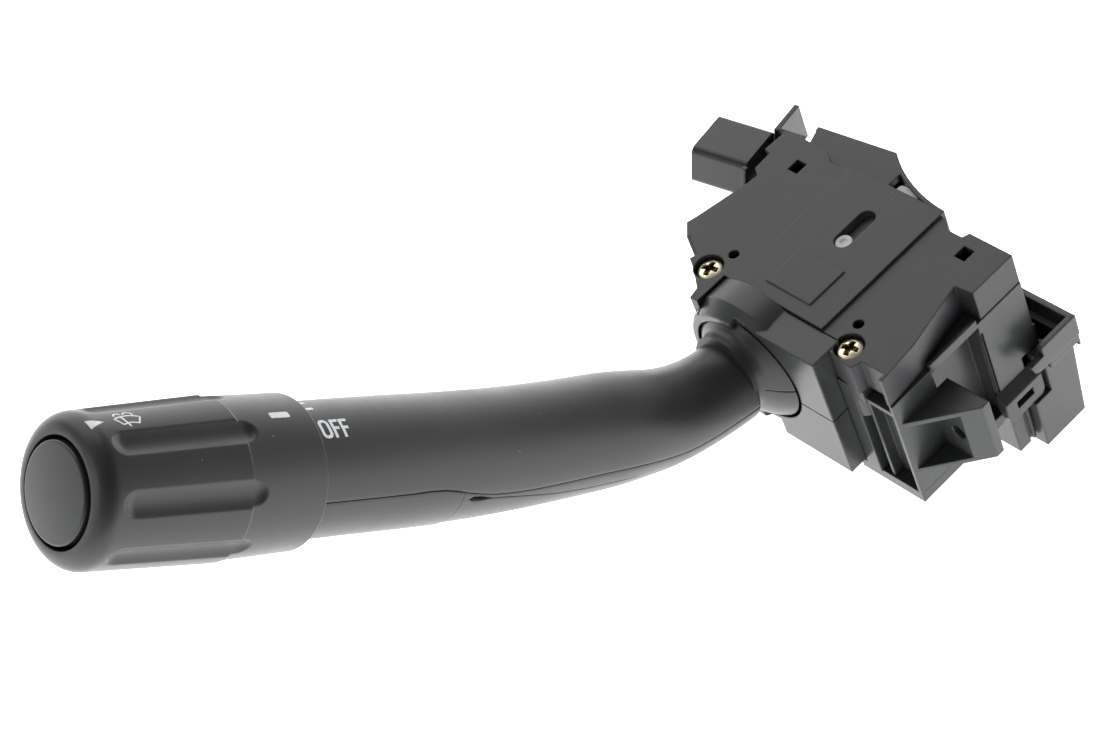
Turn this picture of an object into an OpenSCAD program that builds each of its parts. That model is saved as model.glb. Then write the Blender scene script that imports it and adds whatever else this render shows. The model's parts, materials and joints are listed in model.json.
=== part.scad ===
// Combination stalk switch for a steering column, in millimetres.
// X runs away from the stalk into the housing, Y to the side of the hazard button, Z towards the driver.
// The origin lies on the base plate's underside, below the case's front wall, on the housing's centre plane.

/* [Housing] */
// Depth of the switch case from its front wall to its far wall
case_l = 44.5; // [43:0.5:48]
// Width of the switch case
case_w = 82; // [80:0.5:88]
// Thickness of the base plate
base_t = 3.5; // [3:0.25:5]
// Height of the switch case above the base plate
case_h = 34.7; // [34.5:0.1:38]
// Height of the cover's wings above the switch case
cover_h = 10; // [9.5:0.1:12]
// Height of the raised strip along the middle of the cover
strip_h = 0.8; // [0.4:0.1:1.6]
// Width of the raised strip
strip_w = 32.4; // [28:0.2:36]
// Wall of the moulded housing shells
wall = 1.8; // [1.4:0.1:2.4]
// How far the front corner post stands out from the front wall
post_out = 3.7; // [3:0.1:4.5]
// Depth of the pocket cut into the right side of the cover and the case
pocket_d = 5.8; // [4:0.1:7]

/* [Cover details] */
// Distance between the two cover screws
screw_gap = 51.2; // [50:0.2:54]
// Radius of the screw head
screw_head_r = 3.25; // [2.8:0.05:3.6]
// Radius of the screw shank
screw_r = 1.6; // [1.3:0.05:2]
// Radius of the counterbore round a screw head
counterbore_r = 4.15; // [3.9:0.05:4.6]
// Width of the slot for the cancelling pawl's guide pin
slot_w = 5; // [4.4:0.1:5.6]
// Travel that the slot allows the guide pin
slot_travel = 8.9; // [7:0.1:10]

/* [Hood] */
// Outer radius of the hood's round part
hood_r = 21; // [20.6:0.1:21.6]
// Wall of the hood's round part
hood_wall = 1.4; // [1.1:0.1:1.5]
// Distance from the case's front wall to the hood's front rim
hood_out = 11.6; // [10.5:0.1:12.5]
// Radius of the opening in the case's front wall for the lever
opening_r = 17.2; // [17:0.1:18]
// Height of the joint between the two halves of the hood
hood_split_z = 26.3; // [24:0.1:30]

/* [Lever] */
// Distance of the lever's turn axis behind the case's front wall
pivot_x = 5.5; // [5.3:0.1:6.5]
// Sideways offset of the lever from the housing's centre plane
lever_y = 7.2; // [6:0.1:8]
// Height of the lever's pivot above the base plate's underside
pivot_z = 30.3; // [30:0.1:31]
// Radius of the lever's root bell, measured from the pivot
bell_r = 22.9; // [22.6:0.1:23]
// Length of the lever's straight root from its pivot
root_l = 12.4; // [11:0.2:16]
// Radius of the bend at the root
bend_r = 61.4; // [56:0.2:70]
// Slope of the lever after the bend, in degrees
bend_a = 37.1; // [34:0.1:40]
// Length of the straight part after the bend
middle_l = 22.9; // [15:0.5:35]
// Radius of the long sweep towards the knob
sweep_r = 550; // [400:10:700]
// Slope of the lever at its knob, in degrees
knob_a = 42.5; // [41:0.1:46]
// Length of the lever along its path, from its pivot to the knob
lever_l = 166.6; // [160:0.2:182]
// Radius of the lever at its neck
neck_r = 11.4; // [11:0.1:11.8]
// Radius of the lever next to the knob
grip_r = 15.8; // [15.2:0.1:16]
// Wall of the lever's shells
shell_t = 2; // [1.6:0.1:2.2]
// Distance of the shells' joint below the lever's centreline
split_drop = 3.6; // [2.5:0.1:4.5]
// How far the wire cover stands out from the lower shell
cover_proud = 0.5; // [0.2:0.1:0.8]

/* [Knob] */
// Length of the wiper knob
knob_l = 61.6; // [58:0.2:66]
// Radius over the ribs at their rear end
knob_r = 18.65; // [18.5:0.05:19.2]
// Radius over the ribs at the knob's front
front_r = 17.4; // [17:0.05:18]
// Radius of the knob's plain skirt at its rear end
skirt_r = 18; // [17.9:0.05:18.3]
// Length of the plain skirt
skirt_l = 22.4; // [18:0.2:28]
// Number of finger grooves round the knob
groove_n = 8; // [5:1:9]
// Radius of the cutter that makes a finger groove
groove_r = 5.5; // [4.8:0.1:6.5]
// Width of a finger groove
groove_w = 6.4; // [5:0.1:7]
// Radius of the rounded edge at the knob's front
knob_round = 4.1; // [3:0.1:4.4]
// Radius of the washer button
button_r = 11.4; // [10.5:0.1:11.8]
// Radius of the recess round the washer button
recess_r = 12.9; // [12.4:0.1:13.2]
// Travel of the washer button
button_travel = 2.5; // [1.5:0.1:3]

/* [Hazard switch] */
// Width of the hazard button
hazard_w = 17.6; // [16:0.1:18]
// Height of the hazard button
hazard_h = 11.7; // [10:0.1:12]
// How far the hazard button stands out
hazard_out = 15.9; // [14:0.1:17]
// Travel of the hazard button
hazard_travel = 4; // [3:0.5:5]

/* [Mounting and connectors] */
// Radius of the holes for the column screws
lug_hole_r = 2.2; // [1.8:0.05:2.6]
// Distance of a lug's outer edge from the housing's centre plane
lug_reach = 54.6; // [53:0.1:57]
// Height of the right mounting lug
lug_h = 19.5; // [17:0.5:21]
// Width of the harness connector along the case's side
socket_w = 23; // [20:0.5:26]
// Height of the harness connector
socket_h = 37; // [34:0.5:40]

/* [Fits] */
// Radial clearance of a shaft or plunger in its bore
fit = 0.05; // [0.02:0.01:0.08]
// Gap between neighbouring pieces that don't touch
gap = 0.3; // [0.2:0.05:0.4]

/* [Hidden] */
$fn = 48;
tiny = 0.01;
far = 200;

case_top = base_t + case_h;
wing_top = case_top + cover_h;
strip_top = wing_top + strip_h;
right_y = -case_w / 2;
left_y = case_w / 2;
strip_y = strip_w / 2;
plate_z = wing_top - wall;

// Where the right side's pocket lies along the case
pocket_x0 = 9.3;
pocket_x1 = 29.2;
pocket_y = right_y + pocket_d;
post_t = 1.2;
ledge_z = 33.9;
ledge_t = 1.6;
pillar_y = -31.2;
pillar_x = -4.2;
lip_t = 1.2;
lip_h = 1.6;
under_step = 0.5;
seat_x1 = 27;

// Front face of the hood's box part, and its sides
hood_box_out = 9.6;
hood_box_y = -22.1;
hood_box_z = 5.5;
hood_front_x = -hood_out;
hood_in_r = hood_r - hood_wall;
rim_r = 18.8;
rim_y = 5.8;
rim_round = 0.6;
chamfer_l = 4.4;
seam = 0.3;
seat_gap = 0.1;
bell_gap = 0.7;

// Cover screws and small cover features
screw_x = 0.3;
screw_y = screw_gap / 2;
screw_head_h = 1.4;
screw_dome = 0.9;
screw_l = 18;
boss_r = 4.4;
recess_w = 1.25;
recess_arm = 2.3;
recess_deep = 1.7;
counterbore_d = 2.6;
peg_hole_r = 1.5;
peg_hole_x = 6.9;
peg_hole_y = 22.7;
window_x = 38.6;
window_y = 30;
window_w = 4;
window_h = 3.5;
slot_x = 25.3;
pad_x = 4.4;
pad_w = 13;
pad_y = -8.1;
pad_l = 16;
pad_h = 0.35;

// Pivot bracket and carrier
carrier_w = 18;
carrier_h = 21;
carrier_l = 12;
carrier_side = 2.8;
carrier_plate = 2.5;
trunnion_r = 2.5;
trunnion_l = 4;
bracket_t = 3.5;
bracket_l = 6.8;
bracket_side = 3;
bracket_gap = 1.2;
tail_l = 18.5;
tail_w = 7;
tail_t = 3;
tail_z = pivot_z - 7.6;
drive_r = 1.5;
drive_x = 14;
drive_l = 11.4;
push_x = 19;
push_r = 1.6;
push_l = 1.5;
tilt_pin_r = 2;

// Lever arm inside the carrier
arm_boss_r = 5.5;
arm_boss_w = carrier_w - 2 * carrier_side - 2 * gap;
arm_r = 5.4;
arm_l = 24;
arm_out_l = 42;
arm_slope = 27;
elbow_proud = 0.25;
arm_tail_l = 20;
arm_tail_w = 8;
arm_tail_h = 7.4;
plunger_r = 2.4;
plunger_l = 7;
plunger_bore = 14;
plunger_travel = 1;
arm_tip = 2.2;

// Board and sliders
board_z = base_t + gap;
board_t = 1.6;
board_x0 = 12;
board_x1 = 38;
board_y0 = -30;
board_y1 = 30;
track_t = 0.4;
track_w = 2.2;
track_pitch = 3.4;
track_l = 32;
slider_x = 9;
slider_y = 10;
slider_h = 6;
slider_z = board_z + board_t + track_t + 1;

// Detent plate behind the lever arm
detent_x0 = 20;
detent_x1 = 31;
detent_w = 20;
detent_h = 18;
detent_groove = 2.4;
detent_deep = 0.8;

// Cancelling pawl: a thick body under the slot and a thinner nose
pawl_t = 5;
pawl_w = 8;
pawl_z = case_top + 1.2;
pawl_body_x1 = 40.5;
pawl_x1 = 51.3;
nose_t = 3.4;
nose_y0 = -1.8;
nose_y1 = 5.4;
nose_round = 1.2;
pawl_pin_r = slot_w / 2 - 0.2;
pawl_spring_r = 2.2;
pawl_spring_l = 9;

// Lever path, as flat points behind and above the pivot
bend_l = bend_r * PI * bend_a / 180;
sweep_l = sweep_r * PI * (knob_a - bend_a) / 180;
outer_l = lever_l - root_l - bend_l - middle_l - sweep_l;
bend_end = [-root_l - bend_r * sin(bend_a), bend_r * (1 - cos(bend_a))];
middle_end = bend_end + middle_l * [-cos(bend_a), sin(bend_a)];
sweep_end = middle_end + sweep_r * [sin(bend_a) - sin(knob_a), cos(bend_a) - cos(knob_a)];
lever_end = sweep_end + outer_l * [-cos(knob_a), sin(knob_a)];
lever_origin = [pivot_x, lever_y, pivot_z];
knob_base = lever_origin + [lever_end.x, 0, lever_end.y];
bell_edge_x = 15.2;
swell_start = 50;
swell_l = 100;
neck_end = 24;
mid_s = 70;
mid_r = 14.4;
ring_n = 30;
side_n = 14;
cover_ring = 16;
shell_in = 1;
ring_step = (lever_l + shell_in - neck_end) / ring_n;
cover_start = neck_end + cover_ring * ring_step;
plug_l = 3;

// Knob and what it turns on
spindle_r = 6;
spindle_out = 46;
spindle_in = 24;
spindle_flange_r = grip_r - shell_t - 0.3;
spindle_flange_t = 3;
hub_l = 28;
hub_r = 9;
knob_wall = 2;
button_deep = 9;
button_top = 0.6;
stem_r = 2.5;
stem_l = knob_l + spindle_in - 1;
washer_box = 12;
washer_spring_r = 4.6;
rotor_z = 1.5;
rotor_t = 1.2;
groove_step = 360 / groove_n;
groove_start = 15.4;
groove_taper = 2;
groove_rear = 22.9;
groove_front = 51.7;

// Hazard switch frame: its origin is the near top corner of its face plate
hazard_at = [33.2, 46.5, 45];
hazard_turn = [11, 13.2, 20.4];
hazard_x0 = 0.3;
hazard_plate_w = 33;
hazard_plate_h = 15;
hazard_plate_t = 1.5;
hazard_flare = 6.8;
hazard_body_top = 3;
hazard_body_x1 = 19.5;
hazard_body_y0 = 30;
hazard_neck_x1 = 20.4;
hazard_neck_y = 8.8;
hazard_roof = 1.2;
hazard_round = 1.9;
hazard_body_h = 13.5;
hazard_slide_l = 22;
hazard_spring_r = 3;

// Mounting lugs: a flange that faces the column, held by two gussets
lug_x0 = -3;
lug_x1 = 14.9;
lug_corner = 2.5;
lug_face_x = 8.2;
lug_z = 11;
lug_wall = 1.5;
lug_hole_y = 47.8;
lug_left_x0 = 4;
lug_left_face_x = 11.5;
lug_left_reach = 51.5;
lug_left_z = 16.5;
lug_left_h = 8.5;

// Harness connector on the far right corner
socket_x0 = 40.6;
socket_tip_x = 35.8;
socket_x1 = 53.6;
socket_y = -47;
socket_z1 = 20;
socket_wall = 1.7;
socket_band = 7;
socket_lip_z = 8.6;
socket_step = 3.1;
socket_body_l = 19;
socket_body_x0 = 36.3;
socket_body_x1 = 51.2;
socket_body_xm = 52.9;
socket_neck_x = 42.4;
socket_floor = 4;
pin_n = 6;
pin_pitch = 2.6;
pin_y = -34.4;
pin_w = 0.8;
pin_l = 12;

// Lower connector under the base plate
lower_x0 = 29.4;
lower_x1 = 35.9;
lower_y0 = -41;
lower_y1 = -18;
lower_h = 14.6;

// Snap tab on the right of the base plate, its slot, and the window beside it
tab_x0 = 27.3;
tab_x1 = 41;
tab_y = right_y - 2.4;
tab_in = 0.8;
tab_z1 = 7.6;
tab_back_z = 10.5;
tab_round = 3;
tab_slot_x0 = 31;
tab_slot_x1 = 37.2;
tab_slot_z = 3.4;
tab_slot_h = 2.4;
tab_window_z0 = 9.2;
tab_window_z1 = 14.8;

// Steering shaft that the far flange and the pawl face
shaft_x = 95;
shaft_y = -14;
shaft_r = 45.6;
flange_t = 2.4;
flange_wall = 1.2;
flange_z0 = 26.2;
flange_z1 = 44;
shelf_y = 7.2;
shelf_t = 2;
shelf_skirt = 1.4;

// Cover outline, anticlockwise from the front right corner
cover_outline = [
    [-post_out, right_y + 0.4], [pocket_x0, right_y + 1.5], [pocket_x1, pocket_y],
    [pocket_x1 + 0.6, right_y + 0.2], [case_l, right_y + 0.2], [case_l, right_y + 14.5],
    [case_l - 2, right_y + 15.4], [case_l - 2, right_y + 19.9], [case_l + 0.5, right_y + 23.2],
    [case_l + 2, right_y + 30.2], [case_l + 1.6, strip_y + 1.3], [case_l - 0.2, strip_y + 2.2],
    [case_l, strip_y + 6.9], [case_l + 2.5, left_y - 14.4], [case_l + 2.6, left_y + 1.2],
    [38.8, left_y + 1.6], [38.4, left_y - 0.7], [32.3, left_y - 1], [31.2, left_y - 3.6],
    [28.1, left_y - 3.2], [11.4, left_y + 0.5], [8.4, left_y + 1.4], [4.5, left_y - 2.6],
    [5.4, left_y - 3.3], [1.7, left_y - 9.4], [-0.4, left_y - 8.7], [-2.8, left_y - 12.8],
    [-6.8, left_y - 18], [-10.1, left_y - 18.7], [-10, left_y - 21.3], [gap, left_y - 21.3],
    [gap, hood_box_y - gap], [-post_out, hood_box_y - gap], [-post_out - 1.1, -30.8], [-1.7, -31.8],
    [-1.7, right_y + 0.4 + post_t], [-post_out, right_y + 0.4 + post_t]
];

// Inside of the cover, kept clear of its screw bosses and its pocket
cover_cavity = [
    [wall, right_y + 4], [pocket_x0 - wall, right_y + 4], [pocket_x1 - wall, pocket_y + wall],
    [pocket_x1 + 2 * wall, pocket_y + wall], [pocket_x1 + 2 * wall, right_y + 2 * wall],
    [case_l - wall, right_y + 2 * wall], [case_l - wall, right_y + 13], [case_l - 4, right_y + 14],
    [case_l - 4, strip_y + 7], [case_l - wall, left_y - 12], [case_l - wall, left_y - 5],
    [27, left_y - 5.2], [12, left_y - 2], [7, left_y - 3], [wall, left_y - 12]
];

// A box given by its lowest corner and its highest corner
module block(low, high) {
    translate(low)
        cube(high - low);
}

// A cylinder along X, Y or Z that starts at a point
module rod_x(at, r, l) {
    translate(at)
        rotate([0, 90, 0])
            cylinder(r = r, h = l);
}

module rod_y(at, r, l) {
    translate(at)
        rotate([-90, 0, 0])
            cylinder(r = r, h = l);
}

module rod_z(at, r, l) {
    translate(at)
        cylinder(r = r, h = l);
}

// A rectangle with round corners, from its lowest corner
module round_rect(size, r) {
    translate([r, 0])
        square([size.x - 2 * r, size.y]);
    translate([0, r])
        square([size.x, size.y - 2 * r]);
    for (x = [r, size.x - r], y = [r, size.y - r])
        translate([x, y])
            circle(r = r);
}

// Frame of the knob: its origin is the middle of the knob's rear end, with Z along the knob's axis
module at_knob() {
    translate(knob_base)
        rotate([0, knob_a - 90, 0])
            children();
}

// Frame of the hazard switch
module at_hazard() {
    translate(hazard_at)
        rotate(hazard_turn)
            children();
}

// Lever path: position and slope at a distance along the centreline
function path_slope(s) =
    s < root_l ? 0
    : s < root_l + bend_l ? (s - root_l) / bend_r * 180 / PI
    : s < root_l + bend_l + middle_l ? bend_a
    : s < lever_l - outer_l ? bend_a + (s - root_l - bend_l - middle_l) / sweep_r * 180 / PI
    : knob_a;
function path_flat(s) =
    s < root_l ? [-s, 0]
    : s < root_l + bend_l ? [-root_l - bend_r * sin(path_slope(s)), bend_r * (1 - cos(path_slope(s)))]
    : s < root_l + bend_l + middle_l ? bend_end + (s - root_l - bend_l) * [-cos(bend_a), sin(bend_a)]
    : s < lever_l - outer_l ? middle_end + sweep_r * [
        sin(bend_a) - sin(path_slope(s)), cos(bend_a) - cos(path_slope(s))]
    : sweep_end + (s - lever_l + outer_l) * [-cos(knob_a), sin(knob_a)];
function path_point(s) = lever_origin + [path_flat(s).x, 0, path_flat(s).y];
function path_up(s) = [sin(path_slope(s)), 0, cos(path_slope(s))];

// Radius of the lever's skin at a distance along it: quick growth from the neck, then slow growth to the knob
function ease(t) = t <= 0 ? 0 : t >= 1 ? 1 : t * t * (3 - 2 * t);
function skin_r(s) =
    neck_r + (mid_r - neck_r) * ease((s - root_l - 14) / (mid_s - root_l - 14))
    + (grip_r - mid_r) * ease((s - swell_start) / swell_l);

// Section of a shell: an outer arc and an inner arc back, both ending on the joint plane
function arc_points(r, drop, upper, n) =
    let (a0 = asin(drop / r), span = upper ? 180 - 2 * a0 : 180 + 2 * a0)
    [for (i = [0:n]) let (a = upper ? a0 + i * span / n : a0 - i * span / n) r * [cos(a), sin(a)]];
function shell_section(r, drop, upper) =
    let (outer = arc_points(r, drop, upper, side_n), inner = arc_points(r - shell_t, drop, upper, side_n))
    concat(outer, [for (i = [side_n:-1:0]) inner[i]]);

// One half of the lever's skin, swept along the path from one distance to another
module swept_shell(s0, s1, n, upper, proud) {
    drop = upper ? -split_drop : -split_drop - tiny;
    m = 2 * side_n + 2;
    points = [
        for (i = [0:n])
            let (s = s0 + (s1 - s0) * i / n)
            for (p = shell_section(skin_r(s) + proud, drop, upper))
                path_point(s) + [0, p.x, 0] + p.y * path_up(s)
    ];
    sides = [
        for (i = [0:n - 1], j = [0:m - 1])
            let (a = i * m + j, b = i * m + (j + 1) % m)
            upper ? [a, b, b + m, a + m] : [a, a + m, b + m, b]
    ];
    caps = [
        for (k = [0, n], j = [0:side_n - 1])
            let (a = k * m + j, b = k * m + m - 1 - j, flip = (k == 0) == upper)
            flip ? [a, b, b - 1, a + 1] : [a, a + 1, b - 1, b]
    ];
    polyhedron(points = points, faces = concat(sides, caps), convexity = 6);
}

// A coil spring along Z from the origin, as a round wire swept round a helix
module coil(r, wire, l, turns) {
    per_turn = 12;
    sides = 6;
    n = turns * per_turn;
    points = [
        for (i = [0:n])
            let (a = i * 360 / per_turn, z = wire + (l - 2 * wire) * i / n)
            for (j = [0:sides - 1])
                let (b = j * 360 / sides, q = r + wire * cos(b))
                [q * cos(a), q * sin(a), z + wire * sin(b)]
    ];
    skin = [
        for (i = [0:n - 1], j = [0:sides - 1])
            let (a = i * sides + j, b = i * sides + (j + 1) % sides)
            [a, b, b + sides, a + sides]
    ];
    polyhedron(
        points = points,
        faces = concat(skin, [[for (j = [sides - 1:-1:0]) j], [for (j = [0:sides - 1]) n * sides + j]]),
        convexity = 10
    );
}

// Outside of the hood: a barrel with a chamfered rim round the lever, and a box beside it
module hood_body(grow = 0) {
    r = hood_r + grow;
    difference() {
        union() {
            translate([hood_front_x, lever_y, pivot_z])
                rotate([0, 90, 0])
                    rotate_extrude($fn = 72)
                        polygon([[0, 0], [rim_r - rim_round, 0], [rim_r, rim_round], [r, chamfer_l], [r, hood_out],
                                 [0, hood_out]]);
            block([-hood_box_out - grow, hood_box_y - grow, hood_box_z - grow],
                  [0, lever_y - 5, wing_top + grow]);
        }
        // The rim ends where the box's front begins
        block([-far, -far, -far], [-hood_box_out - grow, rim_y, far]);
    }
}

// Room inside the barrel: a cylinder that narrows round the bell towards the rim
module lever_room() {
    front = pivot_x - hood_front_x;
    room_l = front - sqrt(pow(bell_r + bell_gap, 2) - pow(hood_in_r, 2));
    translate([hood_front_x, lever_y, pivot_z])
        rotate([0, 90, 0])
            rotate_extrude($fn = 72)
                polygon(concat([[0, -1]],
                               [for (i = [0:6]) let (h = -1 + (room_l + 1) * i / 6)
                                   [sqrt(pow(bell_r + bell_gap, 2) - pow(front - h, 2)), h]],
                               [[hood_in_r, far], [0, far]]));
}

module hood_shell() {
    difference() {
        hood_body();
        lever_room();
        block([-hood_box_out + wall, hood_box_y + wall, hood_box_z + wall],
              [far, lever_y - 5 - wall, wing_top - wall]);
        // Room for the boss of the left cover screw and for the tip of the cover's wing
        block([-boss_r - gap, screw_y - boss_r - gap, pivot_z - hood_r - 1], [far, far, far]);
        block([-hood_box_out - 1, left_y - 21.3, case_top - gap], [far, far, far]);
    }
}

module hood_upper() {
    color("#3c3e40")
        intersection() {
            hood_shell();
            block([-far, -far, hood_split_z], [far, far, far]);
        }
}

module hood_lower() {
    color("#3a3c3e")
        intersection() {
            hood_shell();
            block([-far, -far, -far], [far, far, hood_split_z - seam]);
        }
}

// Room that the hazard switch takes in the cover and the case
module hazard_room() {
    at_hazard() {
        block([-gap, -hazard_body_y0 - gap, -hazard_plate_h - gap],
              [hazard_body_x1 + gap, -hazard_neck_y + gap, -hazard_body_top + seat_gap]);
        block([-gap, -hazard_neck_y - gap, -hazard_plate_h - gap], [hazard_neck_x1 + gap, gap, -0.8 + seat_gap]);
        block([-2 - gap, -hazard_plate_t - gap, -hazard_plate_h - 4], [far, far, gap]);
    }
}

module upper_cover() {
    color("#515355")
        difference() {
            union() {
                translate([0, 0, case_top])
                    linear_extrude(cover_h)
                        polygon(cover_outline);
                block([gap, -strip_y, case_top], [case_l + 1.2, strip_y, strip_top]);
                for (side = [-1, 1])
                    rod_z([screw_x, side * screw_y, case_top], boss_r, cover_h);
                block([pad_x, pad_y, wing_top], [pad_x + pad_w, pad_y + pad_l, strip_top + pad_h]);
                far_shelf();
            }
            difference() {
                translate([0, 0, case_top - 1])
                    linear_extrude(plate_z - case_top + 1)
                        polygon(cover_cavity);
                for (side = [-1, 1])
                    rod_z([screw_x, side * screw_y, case_top - 1], boss_r, cover_h);
            }
            for (side = [-1, 1]) {
                rod_z([screw_x, side * screw_y, wing_top - counterbore_d], counterbore_r, far);
                rod_z([screw_x, side * screw_y, 0], screw_r + 0.2, far);
                rod_z([peg_hole_x, side * peg_hole_y, 0], peg_hole_r, far);
                translate([window_x, side * window_y, wing_top])
                    cube([window_w, window_h, 3 * cover_h], center = true);
            }
            // Slot for the guide pin of the cancelling pawl
            block([slot_x, -slot_w / 2, plate_z - 1], [slot_x + slot_travel, slot_w / 2, far]);
            for (x = [slot_x, slot_x + slot_travel])
                rod_z([x, 0, plate_z - 1], slot_w / 2, far);
            // Way out for the pawl in the far wall
            block([case_l - 5, -pawl_w / 2 - 0.4, pawl_z - 0.4],
                  [case_l + 3.2, nose_y1 + 0.5, pawl_z + pawl_t + 0.4]);
            // Room for the hood's barrel and for the lever's bracket
            hood_body(seat_gap);
            rod_x([-1, lever_y, pivot_z], opening_r, wall + 1 + tiny);
            hazard_room();
        }
}

// Outline of the switch case, anticlockwise from the front right corner
case_outline = [
    [-post_out, right_y], [pocket_x0 + 1.4, right_y], [pocket_x0 + 1.4, pocket_y],
    [pocket_x1 - 1.2, pocket_y], [pocket_x1 - 1.2, right_y], [case_l, right_y], [case_l, left_y - 14],
    [case_l - 9, left_y], [9.5, left_y], [0, left_y - 13], [0, right_y + post_t], [-post_out, right_y + post_t]
];
case_cavity = [
    [wall, right_y + wall], [pocket_x0 + 1.4 - wall, right_y + wall], [pocket_x0 + 1.4 - wall, pocket_y + wall],
    [pocket_x1 - 1.2 + wall, pocket_y + wall], [pocket_x1 - 1.2 + wall, right_y + wall],
    [case_l - wall, right_y + wall], [case_l - wall, left_y - 14 - wall / 2], [case_l - 9 - wall / 2, left_y - wall],
    [10.3, left_y - wall], [wall, left_y - 13.6]
];

module switch_case() {
    color("#55575a")
        difference() {
            union() {
                difference() {
                    translate([0, 0, base_t])
                        linear_extrude(case_h)
                            polygon(case_outline);
                    translate([0, 0, base_t - 1])
                        linear_extrude(case_h + 2)
                            polygon(case_cavity);
                }
                // Flange with a lip that closes the top of the right side's pocket
                block([pocket_x0 + 1.4 - tiny, right_y, case_top - 1.3],
                      [pocket_x1 - 1.2 + tiny, pocket_y + tiny, case_top]);
                block([pocket_x0 + 1.4, right_y, case_top - tiny],
                      [pocket_x1 - 1.2, right_y + lip_t, case_top + lip_h]);
                // Pillar in front of the right screw's boss, with a ledge and a rib beside it
                block([pillar_x, pillar_y, ledge_z], [tiny, hood_box_y - gap, case_top]);
                block([pillar_x, pillar_y + 4, base_t], [tiny, hood_box_y - gap, ledge_z + tiny]);
                block([-post_out, right_y + post_t - tiny, ledge_z], [tiny, pillar_y + tiny, ledge_z + ledge_t]);
                block([-post_out + 0.5, pillar_y, base_t], [tiny, pillar_y + 0.9, ledge_z + tiny]);
                mounting_lug(-1, lug_x0, lug_face_x, lug_reach, lug_z, lug_h);
                mounting_lug(1, lug_left_x0, lug_left_face_x, lug_left_reach, lug_left_z, lug_left_h);
                for (side = [-1, 1])
                    rod_z([screw_x, side * screw_y, case_top - 12], boss_r, 12);
                far_floor();
            }
            // Opening in the front wall for the lever
            rod_x([-5, lever_y, pivot_z], opening_r, 5 + wall + tiny);
            hood_body(gap);
            for (side = [-1, 1])
                rod_z([screw_x, side * screw_y, 0], screw_r + fit, far);
            // Slot beside the large side panel, the snap tab's recess and the window beside it
            block([pocket_x1 - 1.1, right_y - 1, 8], [pocket_x1 - 0.3, right_y + 1, case_top - 4]);
            block([tab_x0 - gap, right_y - 1, base_t - 1], [tab_x1 + gap, right_y + tab_in + gap, tab_back_z + gap]);
            block([tab_x1 - 2.8, right_y - 1, tab_window_z0], [tab_x1 + gap, right_y + wall + 1, tab_window_z1]);
            block([pocket_x0 + 14, pocket_y - 1, case_top - 6.5], [pocket_x1 - 2, pocket_y + 3, case_top - 1.3]);
            hazard_room();
        }
}

// Floor of the recess on the far side, hollowed out round the steering shaft
module far_floor() {
    difference() {
        translate([0, 0, flange_z0])
            linear_extrude(flange_t)
                polygon([[case_l - 0.5, -12], [case_l + 5, -12], [case_l + 14.1, 12.8], [case_l + 12.8, 22],
                         [case_l - 0.5, 22]]);
        rod_z([shaft_x, shaft_y, 0], shaft_r, far);
    }
}

// Far shelf over the hazard switch, its skirt, and the curved wall that faces the shaft
module far_shelf() {
    wall_z = flange_z0 + flange_t;
    difference() {
        union() {
            translate([0, 0, flange_z1 - shelf_t])
                linear_extrude(shelf_t)
                    polygon([[case_l - 1, shelf_y], [56, shelf_y], [58.6, 12.8], [54.9, 39.2], [49.6, 37.2],
                             [case_l - 1, 36]]);
            translate([0, 0, wall_z])
                linear_extrude(flange_z1 - wall_z)
                    polygon([[58.6, 12.8], [54.9, 39.2], [54.9 - shelf_skirt, 39], [58.6 - shelf_skirt, 12.6]]);
            intersection() {
                rod_z([shaft_x, shaft_y, wall_z], shaft_r + flange_wall, flange_z1 - wall_z);
                block([case_l, -10.5 - tiny, 0], [60, 12.8, far]);
            }
            block([case_l, -12, wall_z], [case_l + 5, -10.5, flange_z1]);
        }
        rod_z([shaft_x, shaft_y, 0], shaft_r, far);
        block([case_l, nose_y0 - 0.4, pawl_z - 0.4], [far, nose_y1 + 0.4, pawl_z + nose_t + 0.4]);
    }
}

// Mounting lug: a flange with a screw hole along X, and a gusset above and below it
module mounting_lug(side, x0, face_x, reach, z, h) {
    lug_y = case_w / 2 - 0.5;
    mirror([0, side > 0 ? 0 : 1, 0])
        difference() {
            translate([0, 0, z])
                linear_extrude(h)
                    polygon([[x0, lug_y], [lug_x1, lug_y], [lug_x1, reach], [lug_x1 - lug_corner, reach]]);
            translate([0, 0, z + lug_wall])
                linear_extrude(h - 2 * lug_wall)
                    polygon([[x0 - 9, lug_y + 0.5], [face_x, lug_y + 0.5], [face_x, far], [x0 - 9, far]]);
            rod_x([face_x - 1, lug_hole_y, lug_z + lug_h / 2], lug_hole_r, far);
        }
}

module base_plate() {
    color("#4c4e51")
        difference() {
            union() {
                block([-post_out, right_y, 0], [case_l, left_y, base_t]);
                snap_tab();
                // Rails that hold the contact board
                for (x = [board_x0 + 1, board_x1 - 3])
                    block([x, board_y0 + 2, base_t - tiny], [x + 2, board_y1 - 2, board_z - tiny]);
            }
            // Recesses that lighten the plate behind the hood
            block([-post_out - 1, -19, -1], [-1.5, left_y + 1, base_t + 1]);
            // The underside steps up behind the seat, where the connectors leave it
            block([seat_x1, -far, -1], [far, far, under_step]);
        }
}

// Snap tab: a wedge let into the case's side, with a slot and two rounded lower corners
module snap_tab() {
    difference() {
        translate([tab_x0, 0, 0])
            rotate([90, 0, 90])
                linear_extrude(tab_x1 - tab_x0)
                    polygon([[tab_y, 0], [tab_y, tab_z1], [right_y + tab_in, tab_back_z], [right_y + tab_in, 0]]);
        block([tab_slot_x0, tab_y - 1, tab_slot_z], [tab_slot_x1, tab_y + 1.8, tab_slot_z + tab_slot_h]);
        for (side = [0, 1])
            translate([side * (tab_x0 + tab_x1), 0, 0])
                mirror([side, 0, 0])
                    difference() {
                        block([tab_x0 - 1, tab_y - 1, -1], [tab_x0 + tab_round, right_y - tiny, tab_round]);
                        rod_y([tab_x0 + tab_round, tab_y - 2, tab_round], tab_round, 6);
                    }
    }
}

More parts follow.
